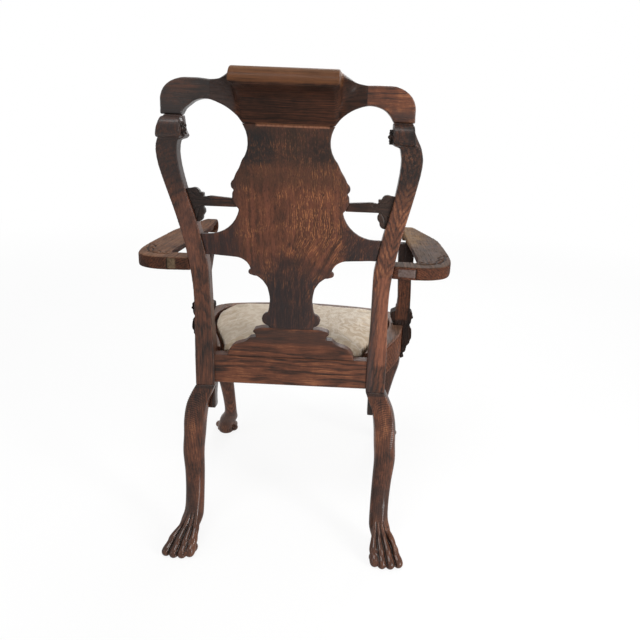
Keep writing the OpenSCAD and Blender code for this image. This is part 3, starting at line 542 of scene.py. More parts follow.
def damask(name):
    """Tone-on-tone woven cloth: mirrored flower and leaf scrolls in satin on a ribbed ground."""
    n = Material(name)
    x, y, _ = n.split(n.pos)
    # half-drop repeat that is mirrored left and right, as damask is woven
    width, height = 0.15, 0.21
    always_positive = 4.2  # twenty repeats
    column = n.math("FLOOR", n.plus(n.math("DIVIDE", x, width), 0.5))
    u = n.math("ABSOLUTE", n.minus(x, n.times(column, width)))
    drop = n.times(n.math("ABSOLUTE", n.math("MODULO", column, 2.0)), height / 2)
    v = n.minus(n.math("MODULO", n.plus(y, drop, always_positive), height), height / 2)
    tile = n.combined(u, v)
    wob = n.noise(tile, 26, 2, 0.5)
    rad = n.vec("LENGTH", n.scaled(tile, 1.25, 1, 0))
    petals = n.math("COSINE", n.times(n.math("ARCTAN2", u, v), 7))
    curl = n.plus(n.times(rad, 62), n.times(wob, 5.2), n.times(petals, 0.45))
    figure = n.step(n.math("SINE", n.times(curl, 3.1)), -0.15, 0.35)
    leaf = n.step(n.noise(tile, 60, 3, 0.5, 1.2), 0.47, 0.53)
    figure = n.math("MAXIMUM", n.times(figure, n.step(rad, 0.105, 0.06)),
                    n.times(leaf, n.step(rad, 0.05, 0.085)))
    warp, weft = n.wave(x, 0.0009), n.wave(y, 0.0011)
    slub = n.noise(n.scaled(n.pos, 0.12, 1, 1), 420, 3, 0.6)
    age = n.step(n.noise(n.pos, 6, 4, 0.6), 0.3, 0.7)
    ground = n.mix(age, (0.40, 0.305, 0.205), (0.465, 0.37, 0.27))
    satin = n.mix(age, (0.46, 0.37, 0.265), (0.51, 0.43, 0.325))
    colour = n.mix(figure, ground, satin)
    colour = n.mix(n.times(n.step(slub, 0.55, 0.8), 0.25), colour, (0.36, 0.27, 0.19))
    # painted shade in the cover's creases and hollows
    colour = n.mix(n.times(n.step(n.edge(), -0.05, -0.6), 0.6), colour, (0.22, 0.165, 0.11))
    n.link(colour, n.bsdf.inputs["Base Color"])
    n.link(n.minus(0.78, n.times(figure, 0.2)), n.bsdf.inputs["Roughness"])
    n.bsdf.inputs["Sheen Weight"].default_value = 0.25
    n.bsdf.inputs["Sheen Roughness"].default_value = 0.4
    relief = n.plus(n.times(figure, 0.7), n.times(n.plus(warp, weft), 0.12), n.times(slub, 0.3))
    n.link(n.bump(relief, 0.0004, 0.9), n.bsdf.inputs["Normal"])
    return n.mat


m_splat = wood("splat_oak", "Z", (0.02, -0.9, 0), 0.006, 0.56, 0.0, flecks=0.8, stain=0.6,
               wear=0.3, streak=0.5, marks=[
    ((-0.14, 0.14), None, (0.808, 0.86), 0.014, (0.034, 0.0185, 0.012), 0.6),
    ((-0.10, 0.10), None, (0.853, 0.925), 0.012, (0.022, 0.0145, 0.011), 0.85),
    ((0.03, 0.10), None, (0.856, 0.912), 0.010, (0.0095, 0.0095, 0.010), 0.8),
    ((-0.085, -0.04), None, (0.860, 0.90), 0.010, (0.010, 0.0085, 0.0085), 0.6),
    # painted shade: the lower splat darker
    ((-0.30, 0.30), None, (0.44, 0.636), 0.032, (0.023, 0.016, 0.0155), 0.92),
    ((-0.035, 0.055), None, (0.50, 0.665), 0.02, (0.012, 0.0095, 0.010), 0.72),
    # painted shade: the splat's sides darker next to the posts, in the next three marks
    ((-0.30, -0.112), None, (0.58, 0.69), 0.014, (0.010, 0.0095, 0.0105), 0.92),
    ((-0.30, -0.106), None, (0.68, 0.90), 0.016, (0.018, 0.012, 0.012), 0.9),
    ((0.104, 0.30), None, (0.58, 0.90), 0.016, (0.018, 0.012, 0.012), 0.9),
    # light line along the seam: wear on its edge and a painted highlight
    ((-0.075, 0.06), None, (0.9212, 0.9255), 0.0007, (0.24, 0.105, 0.06), 0.8),
])
m_post_l = wood("post_oak_left", "Z", (0.19, -0.05, 0), 0.0042, 0.58, 0.4, stain=0.55, wear=0.4,
                polish=0.1, spec=0.17, marks=[
    ((0.19, 0.222), None, (0.64, 0.79), 0.010, (0.105, 0.043, 0.029), 0.45),
    ((0.1, 0.3), None, (0.80, 0.96), 0.03, (0.012, 0.0105, 0.0105), 0.9)])
m_post_r = wood("post_oak_right", "Z", (-0.235, -0.19, 0), 0.0095, 0.54, 0.62, stain=0.8, wear=0.4,
                polish=0.1, streak=0.75, arches=(-0.2, -0.16, 0.65, 0.50, 0.95), marks=[
    ((-0.205, -0.185), None, (0.43, 0.63), 0.005, (0.18, 0.064, 0.036), 0.62),
    ((-0.181, -0.155), None, (0.36, 0.60), 0.005, (0.040, 0.025, 0.023), 0.6),
    ((-0.3, -0.1), None, (0.80, 0.96), 0.03, (0.008, 0.0065, 0.006), 0.95)])
m_crest = wood("crest_oak", "X", (0, -0.1, 0.86), 0.0045, 0.36, 0.25, stain=0.3, wear=0.25,
               streak=0.7, polish=0.03, spec=0.03, marks=[
    # the left neck darker, with a painted grey sheen like the left end's reflection
    ((0.098, 0.16), None, (0.85, 1.03), 0.006, (0.040, 0.032, 0.030), 0.8),
    ((-0.16, -0.102), None, (0.85, 1.03), 0.006, (0.020, 0.014, 0.012), 0.7),
    ((-0.0975, 0.0975), None, (0.991, 1.03), 0.0025, (0.108, 0.045, 0.020), 0.78),
    # painted light: the upper face of the roll lighter
    ((-0.0975, 0.0975), None, (1.009, 1.03), 0.004, (0.135, 0.068, 0.034), 0.55),
    # light line along the seam: wear on its edge and a painted highlight
    ((-0.075, 0.06), None, (0.9235, 0.9270), 0.0012, (0.17, 0.07, 0.035), 0.6),
])
m_crest_end_l = wood("crest_end_oak_left", "X", (0.1, 0.1, 0.93), 0.0045, 0.22, 0.3, stain=0.5,
                     wear=0.4, streak=0.6, polish=0.25, spec=0.2, marks=[
    ((0.18, 0.3), None, (0.90, 0.966), 0.012, (0.013, 0.0115, 0.0115), 0.85)])
m_crest_end_r = wood("crest_end_oak_right", "X", (-0.3, 0.12, 0.90), 0.0048, 0.56, 0.4, stain=0.9,
                     wear=0.6, streak=0.7, polish=0.15, marks=[
    ((-0.30, -0.183), None, (0.90, 0.957), 0.010, (0.028, 0.020, 0.018), 0.75),
    ((-0.172, -0.150), None, (0.925, 0.940), 0.004, (0.22, 0.10, 0.055), 0.7),
    ((-0.1412, -0.1392), None, (0.9, 1.0), 0.0006, (0.004, 0.003, 0.003), 1.0)])
m_rail = wood("rail_oak", "X", (0.1, -0.06, 0.36), 0.0042, 0.56, 0.7, stain=0.4, wear=0.3,
              streak=0.9)
m_shoe = wood("shoe_oak", "X", (-0.02, -0.11, 0.43), 0.0045, 0.57, 0.6, stain=0.3, wear=0.3,
              streak=0.8, marks=[
    ((-0.2, 0.2), None, (0.43, 0.4382), 0.0006, (0.010, 0.007, 0.006), 0.95),
    ((-0.2, 0.2), None, (0.468, 0.50), 0.006, (0.022, 0.015, 0.013), 0.75)])
m_side = wood("side_oak", "Y", (0.15, 0, 0.3), 0.0045, 0.60, 0.4, stain=0.3, wear=0.4,
              rough=0.6, spec=0.03)
m_rim = wood("rim_oak", "Y", (0.1, 0, 0.4), 0.0045, 0.66, 0.3, stain=0.4, wear=0.5, tan=0.8,
             rough=0.5, spec=0.2)
rear_edge = (-0.01 + OY, 0.1 + OY)
repair_l = ((0.240, 0.257), rear_edge, (0.631, 0.653), 0.002, (0.105, 0.075, 0.046), 0.8)
repair_r = ((-0.257, -0.222), rear_edge, (0.634, 0.650), 0.0015, (0.105, 0.082, 0.075), 0.85)
m_arm_l = wood("arm_oak_left", "Y", (0.2, 0, 0.58), 0.0045, 0.42, 0.4, stain=0.45, wear=0.45,
               tan=0.85, marks=[repair_l], rough=0.6, spec=0.05, bare=(0.21, 0.106, 0.060))
m_arm_r = wood("arm_oak_right", "Y", (-0.25, 0, 0.6), 0.0045, 0.42, 0.4, stain=0.45, wear=0.45,
               tan=0.85, rough=0.65, spec=0.05, bare=(0.092, 0.052, 0.031), marks=[
    # the second mark is painted light: the front of the arm's top lighter
    repair_r, ((-0.30, -0.22), (-0.42, -0.06), (0.640, 0.70), 0.03, (0.20, 0.112, 0.045), 0.75)])
m_leg = wood("leg_oak", "Z", (0.1, 0.1, 0), 0.0045, 0.68, 0.3, stain=0.9, wear=0.3,
             polish=0.42, streak=0.8, spec=0.0, marks=[
    # painted shade on the front legs' knees under the side rails, in the next two marks
    ((-0.3, -0.2), (-0.31, 0.0), (0.19, 0.365), 0.012, (0.012, 0.0085, 0.0075), 0.85),
    ((0.2, 0.3), (-0.31, 0.0), (0.19, 0.365), 0.012, (0.012, 0.0085, 0.0075), 0.7),
    ((-0.4, 0.4), None, (-0.1, 0.085), 0.012, (0.035, 0.021, 0.015), 0.45),
    ((-0.3, 0.3), (0.1, 0.33), (0.3555, 0.372), 0.001, (0.012, 0.009, 0.008), 0.85),
    ((-0.3, -0.2), (0.1, 0.33), (0.075, 0.150), 0.016, (0.016, 0.012, 0.011), 0.75),
    ((0.2, 0.3), (0.1, 0.33), (0.075, 0.135), 0.016, (0.016, 0.012, 0.011), 0.75),
    ((0.235, 0.3), (0.1, 0.33), (0.13, 0.33), 0.009, (0.024, 0.016, 0.013), 0.6)])
m_carved = wood("carved_oak", "Z", (0.1, -0.2, 0), 0.005, 0.34, 0.3, stain=0.4, wear=0.4,
                rough=0.38, polish=0.3)
m_dark = wood("dark_carved_oak", "Z", (0.1, -0.2, 0), 0.005, 0.08, 0.2, stain=0.25, wear=0.15,
              rough=0.45, polish=0.06, spec=0.05)
m_post_arm = wood("arm_post_oak", "Z", (0.1, -0.2, 0), 0.0045, 0.42, 0.3, stain=0.4, wear=0.3,
                  rough=0.5, spec=0.05, marks=[
    ((-0.4, 0.4), None, (0.30, 0.456), 0.004, INK, 0.92),
    ((-0.242, 0.242), None, (0.44, 0.50), 0.002, INK, 0.92),
    ((-0.4, -0.274), None, (0.44, 0.50), 0.002, INK, 0.92),
    ((0.274, 0.4), None, (0.44, 0.50), 0.002, INK, 0.92),
    # painted shade: the top of the support darkened under the arm
    ((-0.4, 0.4), None, (0.585, 0.66), 0.014, INK, 0.92)])
m_bar = wood("bar_oak", "X", (0, -0.1, 0.7), 0.0045, 0.30, 0.3, stain=0.3, wear=0.4, marks=[
    # painted shade: the bars' outer ends darker next to the posts
    ((-0.3, -0.155), None, (0.7, 0.85), 0.006, (0.028, 0.018, 0.014), 0.8),
    ((0.155, 0.3), None, (0.7, 0.85), 0.006, (0.012, 0.009, 0.008), 0.85)])
m_beech = plain("bare_beech", (0.32, 0.215, 0.13), (0.46, 0.335, 0.21), 40, (1, 1, 0.3), 0.62)
m_iron = plain("dull_iron", (0.10, 0.095, 0.09), (0.22, 0.21, 0.2), 300, (1, 1, 1), 0.5, 0.85,
               0.0001)
m_web = weave("jute_web", (0.36, 0.26, 0.15), (0.52, 0.41, 0.26), 0.003,
              (0, 0.07, (0.30, 0.10, 0.07)))
m_hessian = weave("hessian", (0.33, 0.24, 0.14), (0.50, 0.39, 0.25), 0.0022)
m_hair = plain("felted_hair", (0.14, 0.10, 0.07), (0.28, 0.21, 0.15), 400, (1, 0.4, 1), 0.9, 0,
               0.0006)
m_cloth = damask("damask")


# ---------------- legs
BACK_W, POST_W, POST_D, POST_BACK = 420, 42, 38, 3
RAIL_BOT, LEG_TOP = 370, 363
HALF_SEAT, SEAT_D = 263, 408
TENON_R = 9.7

rear_line = [
    [1, 0, 0, 42, 38, 0.95], [0.94, 10, 3, 47, 44, 0.75], [0.87, 20, 6, 49, 48, 0.6],
    [0.77, 26, 9, 50, 50, 0.45], [0.66, 28, 14, 49, 46, 0.3], [0.55, 30, 20, 48, 43, 0.15],
    [0.42, 26, 30, 44, 40, 0.05], [0.3, 23, 44, 42, 38, 0], [0.2, 22, 56, 42, 42, 0],
    [0.14, 26, 68, 50, 56, 0], [0.09, 34, 86, 66, 76, 0], [0.045, 42, 99, 76, 86, 0.05],
    [0.012, 43, 105, 74, 82, 0.05], [0, 42, 105, 66, 74, 0.05],
]
front_line = [
    [1, 0, 0, 58, 54, 0.85], [0.9, 20, -16, 64, 62, 0.6], [0.79, 26, -25, 62, 60, 0.4],
    [0.64, 21, -30, 47, 46, 0.2], [0.48, 13, -37, 39, 38, 0.05], [0.33, 10, -51, 35, 35, 0],
    [0.24, 11, -63, 36, 38, 0], [0.18, 17, -78, 45, 48, 0], [0.12, 26, -97, 59, 62, 0],
    [0.055, 34, -107, 66, 68, 0.05], [0.014, 34, -109, 62, 62, 0.05], [0, 33, -109, 52, 52, 0.05],
]


def groove(x, y, path, width, depth):
    """Depth of a rounded groove along a smooth path in the plane, in the path's units."""
    pts = catmull(path, 6)
    best = np.full(len(x), 1e9)
    for a, b in zip(pts[:-1], pts[1:]):
        d = b - a
        t = np.clip(((x - a[0]) * d[0] + (y - a[1]) * d[1]) / max(d @ d, 1e-9), 0, 1)
        best = np.minimum(best, np.hypot(x - a[0] - t * d[0], y - a[1] - t * d[1]))
    return depth * np.exp(-(best / width) ** 2)


def leg_ring(s, spot, h, sides, grow, heel):
    """Ring of a leg at one station: height, offset, size and squareness of its section."""
    a = (np.arange(sides) + 0.5) * 2 * math.pi / sides
    c, d = np.cos(a), np.sin(a)
    m = np.maximum(abs(c), abs(d))
    k = 1 - s[5] + s[5] / m
    x = spot[0] + s[1] + s[3] * grow / 2 * c * k
    y = spot[1] + s[2] + s[4] * grow / 2 * d * k + (1 - grow) * heel
    return np.column_stack(metres(x, y, np.full(sides, s[0] * h)))


def paw(name, ankle, tips, high, size, spur=None):
    """Four blunt toes, each with a pad and a sinew up to the ankle, and the slits between them."""
    made, plan = [], []
    base = np.array(ankle, float)
    tips = np.array(tips, float)
    ahead = tips.mean(axis=0) - base
    ahead /= np.linalg.norm(ahead)
    side = np.array([-ahead[1], ahead[0]])
    order = np.sign((tips[-1] - tips[0]) @ side)
    for i, tip in enumerate(tips):
        s = (i - 1.5) * order
        root = base + side * s * size * 0.62 + ahead * (4 if abs(s) < 1 else 0)
        knee = root * 0.34 + tip * 0.66 + side * s * size * 0.12
        onward = (tip - knee) / np.linalg.norm(tip - knee)
        plan.append([root, root * 0.4 + knee * 0.6, knee, tip, tip + onward * size * 1.3])
        path, rad = [], []
        for q, lift, r in (
            (root, high, 0.36), (root * 0.72 + knee * 0.28, high * 0.81, 0.44),
            (root * 0.4 + knee * 0.6, high * 0.60, 0.66), (knee, high * 0.40, 0.98),
            (knee * 0.62 + tip * 0.38, high * 0.30, 0.90),
            (knee * 0.2 + tip * 0.8, size * 1.30, 1.08), (tip, size * 1.02, 1.04),
        ):
            path.append(metres(*q, lift))
            rad.append(r * size * MM)
        made.append(worm(f"{name}_toe{i}", path, rad, 20))
        mid = root * 0.3 + tip * 0.7
        made.append(ball(f"{name}_pad{i}", metres(*mid, 8), (0.012, 0.016, 0.008)))
    if spur:
        made.append(worm(name + "_spur", [metres(*q[:3]) for q in spur],
                         [q[3] * MM for q in spur], 16))
    slits = [[(a + b) / 2 for a, b in zip(one, two)] for one, two in zip(plan[:-1], plan[1:])]
    return made, slits


def leg_piece(name, node, line, spot, h, aim, toes, mirror, shrink=0.36, heel=0.0):
    """Leg with its carving. aim is the direction of its outer side, in degrees."""
    stations = catmull(line[::-1], 10)
    foot = np.array([1 - shrink * ease(0.17, 0.07, s[0]) for s in stations])
    rings = [leg_ring(s, spot, h, 96, g, heel) for s, g in zip(stations, foot)]
    core = loft(name + "_core", rings)
    tenon = worm(name + "_tenon", [metres(*spot, h - 12), metres(*spot, h + 10)],
                 [TENON_R * MM] * 2, 20)
    toe_parts, slits = paw(name, *toes)
    parts = [core, tenon] + toe_parts
    ordered = catmull(line, 10)[::-1]

    def detail(co, no):
        x, y, z = drawn(co)
        f = z / h
        cx = np.interp(f, ordered[:, 0], ordered[:, 1]) + spot[0]
        cy = np.interp(f, ordered[:, 0], ordered[:, 2]) + spot[1]
        ang = np.arctan2(y - cy, x - cx)
        turn = (ang - math.radians(aim) + math.pi) % (2 * math.pi) - math.pi
        # combed hair on the outside of the upper leg
        comb = np.sin((z + 9.0 * turn ** 2) * 2 * math.pi / 4.8)
        where = ease(0.56, 0.80, f) * ease(0.985, 0.94, f)
        out = 0.55 * comb * (where * ease(1.3, 0.6, abs(turn)))
        # finer ripples above the paw
        low = np.sin((z - 5 * turn ** 2) * 2 * math.pi / 3.4)
        out += (0.4 * low * ease(0.16, 0.2, f) * ease(0.34, 0.26, f)
                * ease(1.3, 0.7, abs(turn)))
        # sinews that run down into the toes
        out += (0.8 * np.cos(turn * 6.5) * ease(0.30, 0.2, f) * ease(0.1, 0.15, f)
                * ease(1.5, 1.0, abs(turn)))
        foot = np.zeros(len(x))
        for slit in slits:
            foot = np.maximum(foot, groove(x, y, slit, 1.5, 3.2))
        out -= foot * ease(78, 66, z) * ease(-0.5, 0.1, no[:, 2])
        return no * (out * MM)[:, None]

    if mirror:
        for o in parts:
            flipped(o)
    obj = carved(joined(name, parts), 0.0013, 2, detail, 0.45, 14)
    finished(obj, m_leg, "frame", [node])


rear_spot = (BACK_W / 2 - POST_W / 2, POST_BACK - POST_D / 2)
# the front legs stand on the mitres of the corner joints, which fan out from one point
lap = (HALF_SEAT - 113, 138 - SEAT_D)
mitre, reach = math.radians(-48), 97
leg_spot = (lap[0] + reach * math.cos(mitre), lap[1] + reach * math.sin(mitre))
spurs = {
    "left": [(200, 58, 58, 3.5), (198, 72, 47, 5.5), (198, 86, 36, 5.5), (200, 96, 27, 4)],
    "right": [(233, 62, 57, 4), (240, 76, 48, 6.5), (244.5, 90, 40, 6.5), (247, 100, 31, 4)],
}
for side, s in SIDES:
    leg_piece("hind_leg_" + side, "rear_leg_" + side, rear_line, rear_spot, LEG_TOP, 62,
              ((211, 50), [(204, 111), (220, 116), (238, 116), (256, 111)], 72, 10.2, spurs[side]),
              s < 0)
    leg_piece("fore_leg_" + side, "front_leg_" + side, front_line, leg_spot, RAIL_BOT, 290,
              ((leg_spot[0] + 13, leg_spot[1] - 66),
               [(229, -464), (244, -471), (261, -471), (277, -462)], 58, 9.8),
              s < 0, 0.28, 36)


# ---------------- back
def spiral(centre, r0, r1, turns, start):
    """Points of a spiral from radius r0 to r1."""
    n = 24
    made = []
    for k in range(n + 1):
        r, a = r0 + (r1 - r0) * k / n, start + turns * 2 * math.pi * k / n
        made.append([centre[0] + r * math.cos(a), centre[1] + r * math.sin(a)])
    return made


VOLUTE_Y, VOLUTE_Z, BOSS_Z = 104, 914, 911
BOSS_X = 188.5  # inner faces of the posts' bosses
SEAM_X = 0.14  # glued seams of the crest


def post_detail(co, no):
    """Scrolls and bosses of the post tops, and their differences from left to right."""
    x, y, z = drawn(co)
    right = co[:, 0] < 0
    side = ease(0.55, 0.85, abs(no[:, 0]))
    near = ease(215, 205, x) + ease(222, 232, x)
    scroll = spiral((VOLUTE_Y, VOLUTE_Z), 17, 14, 0.9, 0.4)
    out = -groove(y, z, scroll, 1.5, 1.5) * side * near * (x > 188)
    ang = np.arctan2(z - BOSS_Z, y - VOLUTE_Y)
    rad = np.hypot(z - BOSS_Z, y - VOLUTE_Y)
    boss = ease(189.5, 187.5, x) * ease(30, 26, rad)
    rim = ease(8, 11, rad)
    out = out + boss * rim * (2.2 * np.cos(5 * ang) - 2.0)
    out = out + boss * side * (2.6 * bump(rad, 0, 3.5) - 3.0 * bump(rad, 6.5, 2.2))
    move = no * (out * MM)[:, None]
    # the roll ends flush with the post below it
    roll = ease(78, 92, y) * ease(878, 892, z) * ease(942, 936, z)
    trim = roll * np.where(right, 0.75, 0.35) * np.maximum(x - 226.5, 0)
    trim = trim + np.where(right, 3.0, 0.0) * bump(z, 838, 62) * ease(900, 880, z)
    # a short boss, and a slimmer inner face in front of it on the left
    trim = trim - np.where(right, 0.35, 0.5) * np.maximum(BOSS_X - x, 0) * ease(30, 26, rad)
    slim = ease(212, 202, x) * ease(896, 912, z) * ease(90, 82, y)
    trim = trim - np.where(right, 0.0, 4.5) * slim
    move[:, 0] -= np.sign(co[:, 0]) * trim * MM
    return move


def crest_detail(co, no):
    """Seams and corners of the crest."""
    x, _, z = drawn(co)
    back = ease(0.3, 0.8, no[:, 1])
    move = no * (-0.5 * bump(x, 140, 1.3) * back * MM)[:, None]
    # fuller outer corners, the left one higher, and the left inner corner further out
    left = co[:, 0] > 0
    corner = ease(196, 224, x) * ease(936, 962, z)
    side = np.where(left, 3.0, 0.0) * ease(185, 215, x) * ease(870, 900, z) + 2.5 * corner
    inner = ease(214, 196, x) * ease(176, 186, x) * ease(972, 955, z)
    side = side + np.where(left, 4.0, 0.0) * inner
    move[:, 0] += np.sign(co[:, 0]) * side * MM
    move[:, 2] += np.where(left, 3.5, 1.0) * ease(120, 165, x) * ease(935, 962, z) * MM
    return move


def bar_detail(co, no):
    """Leaves at the outer ends of the bars."""
    x, _, z = drawn(co)
    face = ease(0.4, 0.8, abs(no[:, 1]))
    h = z - 775  # height above the bars' middle
    out = np.zeros(len(x))
    for path in (
        [[162, 4], [172, 8], [180, 15], [186, 24]], [[168, -6], [178, -10], [185, -20], [190, -36]],
        [[172, 2], [184, 2], [198, 3]], [[176, 10], [186, 10], [196, 18]],
        [[180, -12], [190, -14], [198, -24]],
    ):
        out = np.maximum(out, groove(x, h, path, 1.3, 1.3))
    return no * (-out * face * MM)[:, None]


wood_piece("vase_splat", ["splat"], m_splat, "oak", voxel=0.0017, soften=2)
wood_piece("shaped_shoe", ["splat_shoe"], m_shoe, "oak", voxel=0.0015, soften=2)
crest = wood_piece("carved_crest", ["crest_rail", "crest_end_left", "crest_end_right"], m_crest,
                   "worn_oak", voxel=0.0015, soften=7, shape=crest_detail)
bm = bmesh.new()
bm.from_mesh(crest.data)
for s in (-1, 1):
    bmesh.ops.bisect_plane(bm, geom=bm.verts[:] + bm.edges[:] + bm.faces[:], dist=1e-6,
                           plane_co=(s * SEAM_X, 0, 0), plane_no=(1, 0, 0))
bm.to_mesh(crest.data)
bm.free()
crest.data.materials.append(m_crest_end_l)
crest.data.materials.append(m_crest_end_r)
for poly in crest.data.polygons:
    poly.material_index = 1 if poly.center.x > SEAM_X else 2 if poly.center.x < -SEAM_X else 0
    poly.use_smooth = True
for side, s in SIDES:
    obj = wood_piece("post_" + side, ["stile_" + side], m_post_l if s > 0 else m_post_r, "oak",
                     voxel=0.0014, soften=4, shape=post_detail)
    obj.data.materials.append(m_dark)
    for poly in obj.data.polygons:
        poly.material_index = int(abs(poly.center.x) < BOSS_X * MM and poly.center.z > 0.88)
    wood_piece("bar_" + side, ["splat_bar_" + side], m_bar, "carved_oak", voxel=0.0011, soften=5,
               shape=bar_detail)


# ---------------- seat frame
def rail_detail(co, no):
    """Closes the thin gaps between the rear rail's shoulders and the posts."""
    shoulder = ease(0.162, 0.1675, abs(co[:, 0]))
    move = np.zeros_like(co)
    move[:, 0] = np.sign(co[:, 0]) * shoulder * 0.0016
    return move


wood_piece("back_rail", ["rear_rail"], m_rail, "oak", voxel=0.0018, soften=2, keep=0.3,
           shape=rail_detail)
wood_piece("bowed_front_rail", ["front_rail"], m_rail, "oak", voxel=0.002, soften=2, keep=0.3)
wood_piece("rim_front", ["seat_rim_front"], m_rim, "worn_oak", voxel=0.0014, soften=2, keep=0.4)
for side, _ in SIDES:
    wood_piece("bowed_rail_" + side, ["side_rail_" + side], m_side, "oak", voxel=0.0018, soften=2,
               keep=0.3)
    wood_piece("rim_" + side, ["seat_rim_" + side], m_rim, "worn_oak", voxel=0.0014, soften=2,
               keep=0.4)
for end, place in (("hind", "rear"), ("fore", "front")):
    wood_piece(end + "_brackets", [place + "_knee_brackets"], m_carved, "carved_oak", voxel=0.0016,
               soften=4)


# ---------------- arms
TIP_Y, TIP_Z = -428, 650
HOOK_R = 11.5  # hollow below the rolled tip


def slab_between(name, profile, x0, x1):
    """Prism of a profile drawn in Y and Z, in millimetres."""
    n = len(profile)
    verts = [metres(x, *q) for x in (x0, x1) for q in profile]
    faces = [tuple(range(n))[::-1], tuple(range(n, 2 * n))]
    faces += [(i, (i + 1) % n, n + (i + 1) % n, n + i) for i in range(n)]
    obj = new_object(name, verts, faces)
    bm = bmesh.new()
    bm.from_mesh(obj.data)
    bmesh.ops.recalc_face_normals(bm, faces=bm.faces)
    bm.to_mesh(obj.data)
    bm.free()
    return obj


def cut(obj, cutter):
    mod = obj.modifiers.new("cut", "BOOLEAN")
    mod.operation = "DIFFERENCE"
    mod.solver = "EXACT"
    mod.object = cutter
    applied(obj)
    bpy.data.objects.remove(cutter)


def arm_detail(co, no):
    """Grooves and a leaf on top of an arm, and the nick in its rear edge."""
    x, y, _ = drawn(co)
    top = ease(0.6, 0.9, no[:, 2])
    carve = np.zeros(len(x))
    for path, width, depth in (
        ([[334, -122], [334, -104], [330, -78], [322, -52], [309, -31], [292, -17], [276, -12],
          [264, -17], [259, -28], [264, -38], [273, -38], [277, -30], [272, -25]], 2.2, 2.4),
        ([[341, -112], [334, -104], [325, -98], [317, -87], [317, -73], [325, -66], [331, -72],
          [328, -79]], 2.1, 2.3),
        ([[315, -62], [309, -50], [307, -36], [312, -27]], 2.4, 2.6),
        ([[296, -42], [288, -34], [284, -22]], 2.4, 2.4),
    ):
        carve = np.maximum(carve, groove(x, y, path, width, depth))
    # the leaf between the grooves stands a little proud
    middle = [[327, -112], [324, -84], [314, -56], [298, -34], [280, -26]]
    out = (1.6 * groove(x, y, middle, 7.0, 1.0) - carve) * top
    back = ease(0.4, 0.85, no[:, 1])
    out -= 2.4 * bump(x, 258, 2.4) * back * ease(5, 12, y)
    return no * (out * MM)[:, None]


def support_leaves(side, s):
    """Carved collar, scroll and drop at the foot of an arm support."""
    made = []

    def lump(x, y, z, a, b, c, tilt=0.0):
        made.append(ball(f"leaf_{side}_{len(made)}", metres(s * x, y, z), (a * MM, b * MM, c * MM),
                         s * tilt))

    # scalloped edges of the collar, inner and outer
    for x, z in ((242, 477), (236.5, 470), (234, 461.5), (237, 453.5),
                 (276, 478), (282, 471), (285, 462.5), (280, 454)):
        for y in (-249, -259, -268):
            lump(x, y, z, 4.0, 6.5, 3.7)
    # leaves that close the collar at its foot
    for x, z, tilt in ((244, 446, 0.3), (253, 443, 0.1), (262, 443, -0.1), (270, 446, -0.3)):
        for y in (-244, -279):
            lump(x, y, z, 5.6, 4.5, 11, tilt)
    # rolled scroll on the outer face, with its eye
    for k in range(14):
        t = k / 13
        a = 0.6 + t * 2 * math.pi * 1.3
        r = 11.5 - 7 * t
        lump(274 + 3 * t, -259 + r * math.cos(a) * 1.25, 418 + r * math.sin(a),
             8.5 - 2 * t, 4.4 - t, 4.2 - t)
    lump(275, -259, 418, 8.0, 14, 11.5)
    # husks of the drop
    for z, x, a in ((396, 267, 7.5), (386, 268, 6.5), (376, 266, 6.5), (366, 264, 5.0),
                    (357, 265, 6.0)):
        for dy in (-6, 6):
            lump(x, -254 + dy, z, a, 6.0, 6.5)
    return made


def support_detail(co, no):
    """Grooves, veins and outline of an arm support."""
    x, _, z = drawn(co)
    sign = np.sign(co[:, 0])
    rear = ease(0.3, 0.8, no[:, 1]) * ease(508, 520, z)
    mid = x - (273 - 8 * ease(640, 520, z))
    out = -rear * 0.8 * (bump(mid, -10, 1.6) + bump(mid, 10, 1.6))
    vein = ease(458, 450, z) * ease(0.4, 0.8, abs(no[:, 1]))
    out -= vein * 0.9 * (0.5 + 0.5 * np.cos(x * 2 * math.pi / 4.6))
    move = no * (out * MM)[:, None]
    # the drop narrows below the scroll, in lobes
    lobes = 1.8 * np.cos((z - 386) * 2 * math.pi / 21)
    waist = ease(408, 397, z) * (3.5 + 3.0 * ease(372, 362, z) + lobes)
    waist += 5.5 * bump(z, 441, 6)
    # the shaft above the collar is slim
    slim = np.maximum(244 - x, 0) - np.maximum(x - 279, 0) * (z < 560)
    move[:, 0] += sign * ease(475, 482, z) * slim * MM
    move[:, 0] -= sign * waist * ease(262, 274, x) * MM
    return move


for side, s in SIDES:
    name = "flat_arm_" + side
    obj = copy_of("arm_" + side, name)
    hook = [[TIP_Y + HOOK_R * math.cos(a), TIP_Z - 2 + HOOK_R * math.sin(a)]
            for a in np.linspace(0.75, 5.3, 16)]
    hook += [[-398, 630], [-384, 634], [-390, 652]]
    cutter = slab_between(name + "_hollow", hook, 252, 286)
    cut(obj, cutter if s > 0 else flipped(cutter))
    carved(obj, 0.0014, 12, arm_detail)
    finished(obj, m_arm_l if s > 0 else m_arm_r, "frame", ["arm_" + side])
    wood_piece("arm_post_" + side, ["arm_support_" + side], m_post_arm, "carved_oak",
               extra=support_leaves(side, s), voxel=0.0012, soften=1, shape=support_detail)


